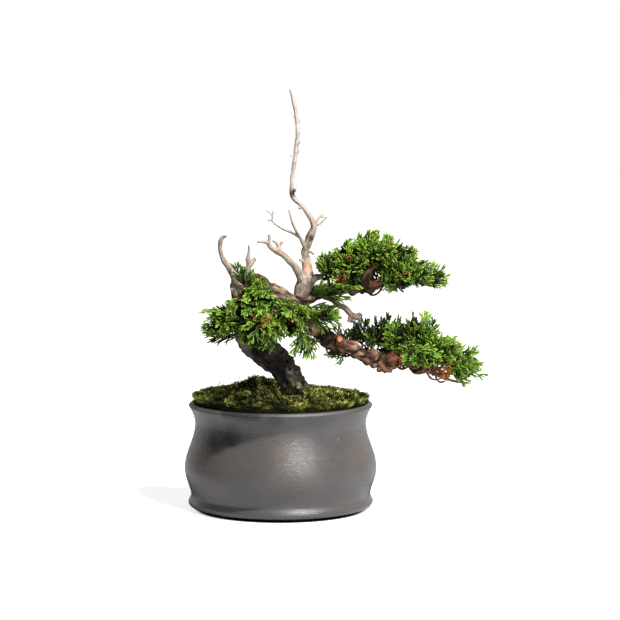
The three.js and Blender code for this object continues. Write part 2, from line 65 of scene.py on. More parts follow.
# %% [markdown]
# ## Camera
# A long lens from about two metres keeps the pot's rim nearly flat, as in the photograph. The camera looks
# down by six degrees and stands upright. A wide lens close by would be easier to place, but it would swell
# the near rim.

# %% Camera
CAMERA_PLACE = Vector((0.0206, -1.960, 0.344))
CAMERA_PITCH = math.radians(5.96)
LENS = 164

camera = bpy.data.objects.new("camera", bpy.data.cameras.new("camera"))
camera.data.lens = LENS
camera.data.sensor_width = 36
camera.data.clip_end = 50
turn = Matrix.Rotation(math.pi / 2 - CAMERA_PITCH, 4, "X")
camera.matrix_world = Matrix.Translation(CAMERA_PLACE) @ turn
bpy.context.scene.collection.objects.link(camera)
bpy.context.scene.camera = camera
bpy.context.scene.view_settings.view_transform = "Standard"
print("camera at", tuple(round(value, 3) for value in CAMERA_PLACE), "m, lens", LENS, "mm")

# %% [markdown]
# ## Helpers for meshes
# Wood, wire and leafy shoots are all tubes that follow a line and change in thickness. One function draws a
# smooth line through given points of x, y, z and radius, and another wraps rings round it. Curve
# objects with a bevel would also do this, but they can't carry values such as "how old is this stretch of
# shoot" on each vertex, and the materials need those.


# %% Lines, tubes and mesh objects
THINNEST = 0.15  # the least radius of a line, in mm


def smooth_line(points, spacing):
    """A centripetal Catmull-Rom line through [x, y, z, radius] points, sampled about every spacing mm."""
    p = np.array(points, float)
    p = np.vstack([2 * p[0] - p[1], p, 2 * p[-1] - p[-2]])
    knots = np.concatenate([[0], np.cumsum(np.linalg.norm(np.diff(p[:, :3], axis=0), axis=1) ** 0.5)])
    stretches = []
    for i in range(1, len(p) - 2):
        count = max(2, math.ceil(np.linalg.norm(p[i + 1, :3] - p[i, :3]) / spacing))
        last = i == len(p) - 3
        t = np.linspace(knots[i], knots[i + 1], count + last, endpoint=last)[:, None]

        def between(a, b, start, end, t=t):
            return ((knots[end] - t) * a + (t - knots[start]) * b) / (knots[end] - knots[start])

        first, second, third = (between(p[k], p[k + 1], k, k + 1) for k in (i - 1, i, i + 1))
        before = between(first, second, i - 1, i + 1)
        after = between(second, third, i, i + 2)
        stretches.append(between(before, after, i, i + 1))
    line = np.vstack(stretches)
    line[:, 3] = np.maximum(line[:, 3], THINNEST)
    return line


def unit(vectors):
    return vectors / np.maximum(np.linalg.norm(vectors, axis=-1, keepdims=True), 1e-9)


def steps_along(line):
    """How far each sample of a line lies from its start, in mm."""
    return np.concatenate([[0], np.cumsum(np.linalg.norm(np.diff(line[:, :3], axis=0), axis=1))])


def round_angles(sides):
    return np.arange(sides) * 2 * math.pi / sides


def sides_along(line):
    """For each sample of a line, two directions across it that never twist round it."""
    along = unit(np.gradient(line[:, :3], axis=0))
    across = np.empty_like(along)
    current = np.cross([0, 1, 0.3], along[0])
    for i, direction in enumerate(along):
        current = unit(current - direction * (current @ direction))
        across[i] = current
    return across, np.cross(along, across)


def stacked_rings(count, sides):
    """The faces round a stack of rings of points, with a flat face at each end."""
    faces = []
    for ring in range(count - 1):
        for side in range(sides):
            a, b = ring * sides + side, ring * sides + (side + 1) % sides
            faces.append((a, b, b + sides, a + sides))
    faces.append(tuple(range(sides))[::-1])
    faces.append(tuple(range((count - 1) * sides, count * sides)))
    return faces


def tube(line, sides):
    """Vertices and faces of rings round a line."""
    across, other = sides_along(line)
    angles = round_angles(sides)
    spokes = np.cos(angles)[None, :, None] * across[:, None] + np.sin(angles)[None, :, None] * other[:, None]
    vertices = (line[:, None, :3] + spokes * line[:, None, 3:4]).reshape(-1, 3)
    return vertices, stacked_rings(len(line), sides)


def joined(parts):
    """Several (vertices, faces) as one; faces are all lists of tuples, or all arrays of triangles."""
    starts = np.cumsum([0] + [len(vertices) for vertices, _ in parts])
    vertices = np.vstack([vertices for vertices, _ in parts])
    if isinstance(parts[0][1], np.ndarray):
        return vertices, np.vstack([faces + start for (_, faces), start in zip(parts, starts)])
    moved = [[tuple(i + start for i in face) for face in faces] for (_, faces), start in zip(parts, starts)]
    return vertices, sum(moved, [])


def triangles_of(faces):
    """Faces of any size as an array of triangles."""
    return np.array([(face[0], face[i], face[i + 1]) for face in faces for i in range(1, len(face) - 1)])


def add_value(mesh, name, data):
    """Stores a float or a vector at each vertex, where the materials can read it."""
    data = np.asarray(data, np.float32)
    kind, field = ("FLOAT_VECTOR", "vector") if data.ndim == 2 else ("FLOAT", "value")
    mesh.attributes.new(name, kind, "POINT").data.foreach_set(field, data.ravel())


def mesh_object(name, vertices, faces, values=None):
    """A smooth-shaded object from points in mm, with the named values at its vertices."""
    mesh = bpy.data.meshes.new(name)
    if isinstance(faces, np.ndarray):
        mesh.vertices.add(len(vertices))
        mesh.vertices.foreach_set("co", (np.asarray(vertices) * MM).astype(np.float32).ravel())
        mesh.loops.add(faces.size)
        mesh.loops.foreach_set("vertex_index", faces.astype(np.int32).ravel())
        mesh.polygons.add(len(faces))
        mesh.polygons.foreach_set("loop_start", np.arange(0, faces.size, 3, dtype=np.int32))
        mesh.update(calc_edges=True)
    else:
        mesh.from_pydata((np.asarray(vertices) * MM).tolist(), [], faces)
    for key, data in (values or {}).items():
        add_value(mesh, key, data)
    mesh.shade_smooth()
    piece = bpy.data.objects.new(name, mesh)
    bpy.context.scene.collection.objects.link(piece)
    return piece


def apply_modifiers(piece):
    """Swaps a piece's mesh for what its modifiers make of it."""
    graph = bpy.context.evaluated_depsgraph_get()
    old, piece.data = piece.data, bpy.data.meshes.new_from_object(piece.evaluated_get(graph))
    piece.modifiers.clear()
    bpy.data.meshes.remove(old)


def coat(piece, material):
    """Gives a piece one material all over."""
    piece.data.materials.clear()
    piece.data.materials.append(material)


def finished(piece, nodes, material):
    """Coats a piece and lets it ride with the plant, in place of its CAD nodes, which it hides."""
    coat(piece, material)
    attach(piece, "root")
    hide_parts(*nodes)
    piece.data.update()
    print(piece.name, "has", len(piece.data.polygons), "faces")


# %% [markdown]
# ## Helpers for materials
# Each material is a small node tree. `node` adds one node, sets its options and feeds its sockets from
# values or from other nodes' outputs, so that a tree reads like a recipe. Coordinates are the object's own,
# in metres, because all pieces share the CAD frame.


# %% Node helpers
def node(tree, kind, inputs=None, **options):
    made = tree.nodes.new(kind)
    for option, value in options.items():
        setattr(made, option, value)
    for socket, value in (inputs or {}).items():
        if isinstance(value, bpy.types.NodeSocket):
            tree.links.new(value, made.inputs[socket])
        else:
            made.inputs[socket].default_value = value
    return made


def math_of(tree, operation, first, second=0.0, clamp=False):
    made = node(tree, "ShaderNodeMath", {0: first, 1: second}, operation=operation, use_clamp=clamp)
    return made.outputs[0]


def vector_of(tree, operation, first, second):
    """A vector worked out from two vectors."""
    return node(tree, "ShaderNodeVectorMath", {0: first, 1: second}, operation=operation).outputs["Vector"]


def distance_of(tree, place, middle):
    """How far a place is from a fixed point, in metres."""
    return node(tree, "ShaderNodeVectorMath", {0: place, 1: middle}, operation="DISTANCE").outputs["Value"]


def axes_of(tree, vector):
    """A vector's X, Y and Z."""
    return node(tree, "ShaderNodeSeparateXYZ", {"Vector": vector}).outputs


def rescaled(tree, value, start, end, low=0.0, high=1.0, smooth=False):
    """The stretch of a value from start to end, turned into low to high and held there past its ends."""
    inputs = {"Value": value, "From Min": start, "From Max": end, "To Min": low, "To Max": high}
    kind = "SMOOTHSTEP" if smooth else "LINEAR"
    return node(tree, "ShaderNodeMapRange", inputs, interpolation_type=kind).outputs[0]


def noise_of(tree, place, scale, detail, roughness=0.5):
    inputs = {"Vector": place, "Scale": scale, "Detail": detail, "Roughness": roughness}
    return node(tree, "ShaderNodeTexNoise", inputs).outputs


def vertex_value(tree, name, output="Fac"):
    """A value that the mesh stores at its vertices."""
    return node(tree, "ShaderNodeAttribute", attribute_name=name).outputs[output]


def own_place(tree):
    """The point on the surface in the frame's metres."""
    return node(tree, "ShaderNodeTexCoord").outputs["Object"]


def paint(red, green, blue):
    """A colour as seen on a screen, from 0 to 255, as the linear light that a shader works with."""
    channels = [value / 255 for value in (red, green, blue)]
    return (*[c / 12.92 if c <= 0.04045 else ((c + 0.055) / 1.055) ** 2.4 for c in channels], 1)


def mixed(tree, factor, first, second):
    """One colour laid over another by a factor."""
    inputs = {0: factor, 6: first, 7: second}
    return node(tree, "ShaderNodeMix", inputs, data_type="RGBA").outputs[2]


def washed(tree, body, mask, strength, colour):
    """A body colour with another over it where a mask shows."""
    return mixed(tree, math_of(tree, "MULTIPLY", mask, strength), body, paint(*colour))


def ramp(tree, factor, stops):
    """Colours along a factor: stops are (position, colour)."""
    made = node(tree, "ShaderNodeValToRGB", {"Fac": factor})
    elements = made.color_ramp.elements
    for element, (position, colour) in ((elements[0], stops[0]), (elements[1], stops[-1])):
        element.position, element.color = position, paint(*colour)
    for position, colour in stops[1:-1]:
        elements.new(position).color = paint(*colour)
    return made.outputs["Color"]


def bumped(tree, height, distance, under=None):
    """A normal from a height map; distance is the height in metres that a value of one stands for."""
    inputs = {"Height": height, "Distance": distance}
    if under is not None:
        inputs["Normal"] = under
    return node(tree, "ShaderNodeBump", inputs).outputs["Normal"]


def new_material(name, **constants):
    """A material with an empty Principled shader whose constant sockets are set directly."""
    material = bpy.data.materials.new(name)
    material.use_nodes = True
    tree = material.node_tree
    shader = tree.nodes["Principled BSDF"]
    for socket, value in constants.items():
        shader.inputs[socket.replace("_", " ")].default_value = value
    return material, tree, shader


def surfaced(tree, shader, **results):
    """Links what varies over the surface to the shader's sockets of the same names."""
    for socket, value in results.items():
        tree.links.new(value, shader.inputs[socket.replace("_", " ")])


def new_group(name, inputs, outputs):
    """An empty node group. Inputs are {name: (socket type, value)}, and outputs {name: socket type}."""
    group = bpy.data.node_groups.new(name, "ShaderNodeTree")
    for key, (kind, value) in inputs.items():
        socket = group.interface.new_socket(key, in_out="INPUT", socket_type=kind)
        if value is not None:
            socket.default_value = value
    for key, kind in outputs.items():
        group.interface.new_socket(key, in_out="OUTPUT", socket_type=kind)
    return group, group.nodes.new("NodeGroupInput").outputs, group.nodes.new("NodeGroupOutput").inputs


def use_group(tree, group, inputs):
    return node(tree, "ShaderNodeGroup", inputs, node_tree=group).outputs


# %% [markdown]
# ## Two effects that several materials share
# **Long grain** is the fibre of wood: noise drawn out along the limb. Live bark and bare deadwood both have
# it, at different widths. It reads the `grain` value of each vertex, which is the limb unrolled straight,
# so the fibre follows every bend. Plain object coordinates would run the fibre straight up through a
# crooked branch.
#
# **Mottling** is the slow drift of tone that no natural surface lacks. Stoneware, wood, moss, leaves, wire
# and the drain screens use it.

# %% The shared node groups
FLOAT, VECTOR = "NodeSocketFloat", "NodeSocketVector"


def long_grain_group():
    group, given, results = new_group(
        "Long grain",
        {"Width": (FLOAT, 1.0), "Length": (FLOAT, 9.0), "Contrast": (FLOAT, 1.0)},
        {"Height": FLOAT, "Furrow": FLOAT},
    )
    narrow = math_of(group, "DIVIDE", 1.0, given["Width"])
    slow = math_of(group, "DIVIDE", 1.0, given["Length"])
    stretch = node(group, "ShaderNodeCombineXYZ", {"X": narrow, "Y": narrow, "Z": slow}).outputs[0]
    place = vector_of(group, "MULTIPLY", vertex_value(group, "grain", "Vector"), stretch)
    fibre = noise_of(group, place, scale=1.0, detail=5.0, roughness=0.62)["Fac"]
    scaled = math_of(group, "MULTIPLY", math_of(group, "SUBTRACT", fibre, 0.5), given["Contrast"])
    height = math_of(group, "ADD", scaled, 0.5, clamp=True)
    group.links.new(height, results["Height"])
    group.links.new(rescaled(group, height, 0.46, 0.3), results["Furrow"])
    return group


def mottling_group():
    group, given, results = new_group(
        "Mottling",
        {"Vector": (VECTOR, None), "Size": (FLOAT, 0.01), "From": (FLOAT, 0.35), "To": (FLOAT, 0.65)},
        {"Mask": FLOAT},
    )
    cloud = noise_of(group, given["Vector"], math_of(group, "DIVIDE", 1.0, given["Size"]), detail=3.0)["Fac"]
    group.links.new(rescaled(group, cloud, given["From"], given["To"], smooth=True), results["Mask"])
    return group


long_grain = long_grain_group()
mottling = mottling_group()
print("node groups:", long_grain.name, "and", mottling.name)


def fibrous(tree, width, length, contrast):
    """Fibres of a width and length in mm, as a height and a mask of the furrows."""
    return use_group(tree, long_grain, {"Width": width, "Length": length, "Contrast": contrast})


def mottled(tree, place, size, start, end):
    """Patches of about a size in metres, which fade in as the noise under them goes from start to end."""
    return use_group(tree, mottling, {"Vector": place, "Size": size, "From": start, "To": end})["Mask"]


# %% Marks on a surface
MARK_CORE = 0.4  # the share of a mark's radius that has its full strength


def marked(tree, place, body, marks):
    """A colour with marks laid over it, each (middle and radius in mm, colour, strength)."""
    for middle, radius, colour, strength in marks:
        away = distance_of(tree, place, [v * MM for v in middle])
        near = rescaled(tree, away, radius * MM, radius * MARK_CORE * MM)
        body = washed(tree, body, near, strength, colour)
    return body


def ragged(tree, place, amount):
    """The place shifted about by a noise of that many mm, so that a mark's edge frays."""
    centred = vector_of(tree, "SUBTRACT", noise_of(tree, place, scale=350.0, detail=3.0)["Color"], [0.5] * 3)
    return vector_of(tree, "ADD", place, vector_of(tree, "MULTIPLY", centred, [amount * MM * 2] * 3))


# %% [markdown]
# ## The pot's clay
# The pot is dark stoneware with no glaze, only the faint sheen that a dense clay gets when the thrower
# smooths it wet. Its colour runs from cool grey to a warmer brown in the belly, where the flame touched it,
# and small iron specks have burnt out dark or orange. Turning leaves level lines, which are a noise that
# changes only with height. A flat grey with one roughness would read as plastic.


# %% Stoneware
# Specks of iron that burnt out in the kiln.
CLAY_SPOTS = [
    ((40, -45.2, 55), 1.3, (150, 112, 80), 0.5),
    ((50.5, -42.8, 31.5), 0.8, (30, 27, 26), 0.8),
    ((1, -63.7, 44.2), 0.6, (34, 31, 29), 0.7),
]
# Painted shade: the rim's shadow on the shoulder and neck, deepest to the left, and shade under the lip.
PAINTED_RIM_SHADOW = [
    ((-43, -42, 56), 14, (24, 22, 20), 0.75), ((-33, -50, 59), 11, (8, 8, 7), 0.85),
    ((-24, -55, 66), 14, (46, 45, 44), 0.5), ((-8, -60, 67), 11, (52, 51, 50), 0.45),
    ((-3, -62.5, 71), 7.5, (36, 35, 34), 0.5),
]
# Painted shade on the left of the lip, where the left pad shades it.
LIP_SHADE_RING = 61.5
LIP_SHADE_PLACES = (-36, -31, -26, -21, -16)
PAINTED_LIP_SHADE = [((x, -math.sqrt(LIP_SHADE_RING**2 - x**2), 74), 6, (9, 8, 7), 0.92) for x in LIP_SHADE_PLACES]
# In metres: the height that the flame warmed most, how far its warmth reaches, and where the matt lip
# with its painted shade begins.
FLAME_HEIGHT, FLAME_REACH, FLAME_CORE = 0.044, 0.022, 0.006
LIP_BEGINS, LIP_FULL = 0.0727, 0.0731


def stoneware_material():
    material, tree, shader = new_material("dark stoneware", IOR=1.5)
    place = own_place(tree)
    height = axes_of(tree, place)["Z"]
    level = node(tree, "ShaderNodeCombineXYZ", {"Z": height}).outputs[0]
    rings = noise_of(tree, level, scale=420.0, detail=5.0, roughness=0.75)["Fac"]
    clouds = mottled(tree, place, size=0.03, start=0.3, end=0.7)
    from_flame = math_of(tree, "ABSOLUTE", math_of(tree, "SUBTRACT", height, FLAME_HEIGHT))
    belly = rescaled(tree, from_flame, FLAME_REACH, FLAME_CORE, smooth=True)
    grey = mixed(tree, clouds, paint(71, 70, 70), paint(80, 77, 75))
    body = washed(tree, grey, math_of(tree, "MULTIPLY", belly, clouds), 0.5, (90, 80, 72))
    lined = math_of(tree, "MULTIPLY", math_of(tree, "SUBTRACT", rings, 0.5), 0.22)
    body = mixed(tree, math_of(tree, "ADD", lined, 0.06, clamp=True), body, paint(52, 51, 50))
    cells = node(tree, "ShaderNodeTexVoronoi", {"Vector": place, "Scale": 110.0, "Randomness": 1.0}).outputs
    chosen = node(tree, "ShaderNodeSeparateColor", {"Color": cells["Color"]}).outputs
    close = rescaled(tree, cells["Distance"], 0.09, 0.04)
    orange = math_of(tree, "MULTIPLY", close, math_of(tree, "GREATER_THAN", chosen[0], 0.99))
    dark = math_of(tree, "MULTIPLY", close, math_of(tree, "GREATER_THAN", chosen[1], 0.93))
    body = mixed(tree, dark, body, paint(40, 37, 35))
    body = washed(tree, body, orange, 0.35, (150, 112, 80))
    body = marked(tree, place, body, CLAY_SPOTS)
    # Painted shadow of the rim on the shoulder and neck, and shade under the lip.
    body = marked(tree, ragged(tree, place, 1.0), body, PAINTED_RIM_SHADOW)
    # Painted shade of the left pad on the lip.
    body = marked(tree, ragged(tree, place, 1.5), body, PAINTED_LIP_SHADE)
    lip = rescaled(tree, height, LIP_BEGINS, LIP_FULL)
    # Painted shade: the lip's bevel is darker than the wall below it.
    body = washed(tree, body, lip, 0.4, (58, 56, 54))
    level_grit = vector_of(tree, "MULTIPLY", place, (900.0, 900.0, 3200.0))
    grit = noise_of(tree, level_grit, scale=1.0, detail=2.0)["Fac"]
    dragged = vector_of(tree, "MULTIPLY", place, (110.0, 110.0, 1500.0))
    streaks = noise_of(tree, dragged, scale=1.0, detail=4.0, roughness=0.6)["Fac"]
    half_rings, half_streaks = (math_of(tree, "MULTIPLY", part, 0.5) for part in (rings, streaks))
    rough = rescaled(tree, math_of(tree, "ADD", half_rings, half_streaks), 0.38, 0.62, 0.23, 0.38)
    rough = math_of(tree, "ADD", rough, math_of(tree, "MULTIPLY", lip, 0.22))
    turned = bumped(tree, streaks, 0.00012, under=bumped(tree, rings, 0.0001))
    pitted = bumped(tree, math_of(tree, "SUBTRACT", grit, dark), 0.00014, under=turned)
    surfaced(tree, shader, Base_Color=body, Roughness=rough, Normal=pitted)
    return material


# %% [markdown]
# ## The pot's shape
# A thrown pot is a profile turned about one axis: a skirt that flares at the foot, a waist just above it, a
# full belly, a narrow neck and a rim that leans out under a bevelled lip. The profile comes from the same
# heights and radii as the CAD model, eased between them, and the thrower's fingers leave shallow rings up
# the wall. The drain holes and channels under the foot are cut out with a Boolean, because a lathe can't
# make them.

# %% Pot sizes
POT_WALL, POT_FLOOR, FOOT_RADIUS = 4.5, 7.0, 57.0
SKIRT, FLARE, WAIST = (62.6, 2.3), (64.7, 5.0), (62.8, 10.0)
BELLY, NECK, RIM = (67.3, 28.8), (59.9, 60.5), (64.3, 72.8)
LIP_OUTER, LIP_INNER, LIP_TOP = 62.4, 60.6, 74.9
SOIL_EDGE_TOP = 66.0
DRAIN_RADIUS, DRAIN_RING, CHANNEL_WIDTH, CHANNEL_DEPTH = 5.5, 27.0, 6.0, 2.0
POT_SIDES, DRAIN_SIDES = 288, 48
CHANNEL_FROM, CHANNEL_TO = 25, 75  # along the channel, from the pot's axis
CUT_BELOW, CUT_ABOVE = -5, 12  # the heights where each cutter starts and where a hole's cutter ends
WALL_STEP = 0.45


def eased(start, end, share):
    return start + (end - start) * (1 - math.cos(math.pi * share)) / 2


def pot_radius(height):
    """The pot's outside radius at a height, in mm."""

    def share(low, high):
        return (height - low[1]) / (high[1] - low[1])

    if height >= NECK[1]:
        return NECK[0] + (RIM[0] - NECK[0]) * share(NECK, RIM) ** 1.7
    if height >= BELLY[1]:
        return eased(BELLY[0], NECK[0], share(BELLY, NECK))
    if height >= WAIST[1]:
        return eased(WAIST[0], BELLY[0], share(WAIST, BELLY) ** 0.85)
    return eased(FLARE[0], WAIST[0], share(FLARE, WAIST))


def finger_rings(height):
    """How far the thrower's finger marks stand out or in, in mm."""
    slow = noise.noise(Vector((0, 0, height / 6.0))) * 0.07
    fine = noise.noise(Vector((5, 0, height / 0.9))) * 0.022
    return slow + fine


# %% Turn the pot
def pot_profile():
    """The pot's section as (radius, height) in mm, from under the foot up the outside and down the inside."""
    widens, rises = FLARE[0] - SKIRT[0], FLARE[1] - SKIRT[1]
    skirt = [
        (SKIRT[0] + widens * math.sin(t * math.pi / 2) ** 0.5, SKIRT[1] + rises * t)
        for t in np.linspace(0.04, 0.9, 8)
    ]
    outside = [FLARE[1] + WALL_STEP * i for i in range(int((RIM[1] - FLARE[1]) / WALL_STEP) + 1)]
    inside = [
        (pot_radius(max(z, WAIST[1])) - POT_WALL, z) for z in np.linspace(SOIL_EDGE_TOP, POT_FLOOR + 2, 30)
    ]
    return [
        (FOOT_RADIUS - 0.8, 0), (FOOT_RADIUS - 0.2, 0.2), (FOOT_RADIUS, 0.8),
        (FOOT_RADIUS + 0.4, SKIRT[1] + 0.2), (FOOT_RADIUS + 1.4, SKIRT[1] + 0.3),
        (SKIRT[0] - 0.4, SKIRT[1] - 0.05),
        *skirt,
        *[(pot_radius(z) + finger_rings(z), z) for z in outside],
        (RIM[0] - 0.35, RIM[1] - 0.15), (RIM[0] + 0.05, RIM[1] + 0.15), (RIM[0] - 0.15, RIM[1] + 0.6),
        (LIP_OUTER + 0.5, LIP_TOP - 0.45), (LIP_OUTER, LIP_TOP - 0.05), (LIP_OUTER - 0.7, LIP_TOP),
        (LIP_INNER + 0.4, LIP_TOP - 0.15), (LIP_INNER, LIP_TOP - 0.6), (LIP_INNER - 0.5, LIP_TOP - 1.8),
        *inside,
        (inside[-1][0] - 1.5, POT_FLOOR + 0.5), (inside[-1][0] - 4, POT_FLOOR),
    ]


def turned_body(name, profile, sides):
    """A profile of (radius, height) turned about +Z, with a flat face at each end of it."""
    vertices = [(r * math.cos(a), r * math.sin(a), z) for r, z in profile for a in round_angles(sides)]
    return mesh_object(name, vertices, stacked_rings(len(profile), sides))


def prism(name, outline, top):
    """An upright cutter over an outline of (x, y)."""
    vertices = [(x, y, z) for z in (CUT_BELOW, top) for x, y in outline]
    return mesh_object(name, vertices, stacked_rings(2, len(outline)))


def drain_cutters(index):
    """What cuts one of the three drain holes, and the channel that leads from it to the edge of the foot."""
    angle = math.pi / 2 + index * 2 * math.pi / 3
    along = np.array([math.cos(angle), math.sin(angle)])
    across = np.array([-along[1], along[0]]) * CHANNEL_WIDTH / 2
    circle = [(DRAIN_RADIUS * math.cos(a), DRAIN_RADIUS * math.sin(a)) for a in round_angles(DRAIN_SIDES)]
    start, end = along * CHANNEL_FROM, along * CHANNEL_TO
    strip = [start - across, end - across, end + across, start + across]
    yield prism(f"drain_{index}", np.array(circle) + along * DRAIN_RING, CUT_ABOVE)
    yield prism(f"channel_{index}", strip, CHANNEL_DEPTH)


def cut_out(piece, cutters):
    """Subtracts the cutters from a piece and removes them."""
    for cutter in cutters:
        cut = piece.modifiers.new("cut", "BOOLEAN")
        cut.operation, cut.object, cut.solver = "DIFFERENCE", cutter, "EXACT"
    apply_modifiers(piece)
    for cutter in cutters:
        bpy.data.objects.remove(cutter)


pot = turned_body("pot_body", pot_profile(), POT_SIDES)
cut_out(pot, [cutter for index in range(3) for cutter in drain_cutters(index)])
finished(pot, ["pot"], stoneware_material())

# %% [markdown]
# ## Wood: the lines of the tree
# These are the CAD model's own limbs, point for point: x, y, z and radius in mm. The knobs and twiglets in
# `bark_knobs` aren't in it, and neither are the stubs and strands that join in when the wood is made. The
# living wood leans out of the pot to the left, turns back over itself in an arch and leaves in two branches
# to the right. The deadwood was once part of the same tree, and stands out of it bleached.

# %% Living wood
trunk_line = [
    [15, 3, 46, 8.5], [13.5, 3, 66, 10.2], [12.5, 2, 77, 11.2], [7, 2, 87.5, 9.8], [-0.5, 3, 98.5, 9.3],
    [-10.5, 4, 107.5, 11.2], [-19.5, 5, 119, 11], [-25, 6, 133, 10], [-26.5, 6, 147, 8.6], [-28, 5, 155, 7.4],
    [-28.5, 4.5, 161, 5.6], [-28.5, 4, 164, 2.4],
]
branch_line = [
    [-27, 7, 149, 5], [-23, 6, 156, 6.4], [-16.5, 4, 158, 6.3], [-7.5, 2, 152, 5.9], [2, 0, 148.5, 5.9],
    [11, -1, 143, 5.9], [18, -2, 136, 5.2], [24, -2, 127.5, 4.6], [31, -1, 120.5, 5.8], [39, -3, 116.5, 6],
    [48, -4, 113, 5.1], [59, -3, 108.5, 4.7], [69, -3, 106.5, 4], [79, -3, 105, 3.4], [87.5, -2, 102.5, 2.7],
    [97, -2, 99, 2.1], [108, -2, 94.5, 1.7], [118, -2, 90.5, 1.3], [126.5, -2, 88.5, 0.9],
]
upper_branch_line = [
    [12, -1, 144, 5], [19, 0, 148.5, 5], [26, 1, 152, 4.7], [35.5, 3, 154, 3.8], [45, 4.5, 154.5, 3.5],
    [54, 4.5, 155, 3.9], [62.5, 3, 156.5, 3.4], [71, 1, 159.5, 2.8], [80, 0, 160, 2.2], [89, 0, 159.5, 1.8],
    [98.5, 0, 158, 1.4], [108.5, -1, 156, 0.9],
]
small_wood = [
    [[23, -5, 149, 2.2], [16, -8.5, 148, 1.7], [10.5, -9, 151.5, 0.9]],
    [[39.5, -4, 117, 3.2], [40.5, -9, 117.5, 2.7], [41, -11.5, 118, 2.5]],
    [[68, -3, 106, 2.8], [71.5, -5, 100, 3], [74, -5, 96.5, 1.6]],
    [[16, 0, 84, 6], [20, -3, 79, 5], [25, -6, 73, 3]],
    [[4, 6, 88, 6], [-3, 13, 80, 4.6], [-8, 18, 73, 3]],
    [[82, -4, 104.5, 1.8], [94, -6, 103, 1.3], [105, -6, 99.5, 1.1], [117, -4, 94, 0.9]],
    [[84, -1, 103, 1.8], [95, 2, 98, 1.2], [106, 2, 96, 1.1], [116, 1, 91.5, 0.8]],
]
bark_knobs = [
    [[4, -1, 100, 4], [8.5, -2, 101.5, 2.9], [9.8, -2, 101.7, 2.0]],
    [[7, 0, 95, 4.5], [12, -2, 97.5, 3.4], [14, -2, 97.5, 2]],
    [[60, -4, 106, 3.2], [59, -6, 103.5, 3], [58, -6.5, 102.5, 2.2]],
    [[-30, 2, 150, 3], [-33.5, 1, 153, 2.2], [-35, 1, 154, 1.3]],
    [[31, -4, 118, 3], [34, -7, 121, 2.4], [35, -8, 122, 1.5]],
    [[50, 3, 153.5, 3.2], [50, 1, 151.5, 2.6], [51, 0, 150.5, 1.8]],
    [[60, 3, 155.5, 3], [62, 1, 153.5, 2.6], [63.5, 0, 152.5, 1.8]],
    [[57, 0, 157, 2.2], [57.5, -9, 163.5, 1.8], [65, -13.5, 171, 1.4]],
    [[63, 1, 157, 1.6], [61.5, -5, 161, 1.1], [63.5, -9, 158.8, 1.0], [69, -10, 162.5, 0.8]],
    [[58, -4, 160, 1.2], [63, -8, 157, 1.0], [68.5, -9, 158.5, 0.9], [71, -9, 163, 0.7]],
    [[68, 0, 158.5, 1.6], [72, 1, 164, 1.3], [71, 0, 169, 1.0]],
    [[39.5, -4, 118.5, 3.2], [40.5, -9, 119.8, 2.7], [41, -11.8, 120.6, 2.6]],
    [[66, -4, 103.5, 2.6], [64.5, -6, 101, 2.2], [64, -6.5, 100, 1.6]],
    [[77, -4, 102.5, 2.6], [79, -5, 99.6, 2.1], [79.5, -5.5, 98.8, 1.6]],
    [[73, -6, 99, 2.6], [76.5, -7.5, 98, 2.1], [77.5, -8, 97.8, 1.6]],
    [[70, -5, 99, 2.4], [68.5, -7, 97.5, 1.9], [68.3, -7.5, 97, 1.5]],
]

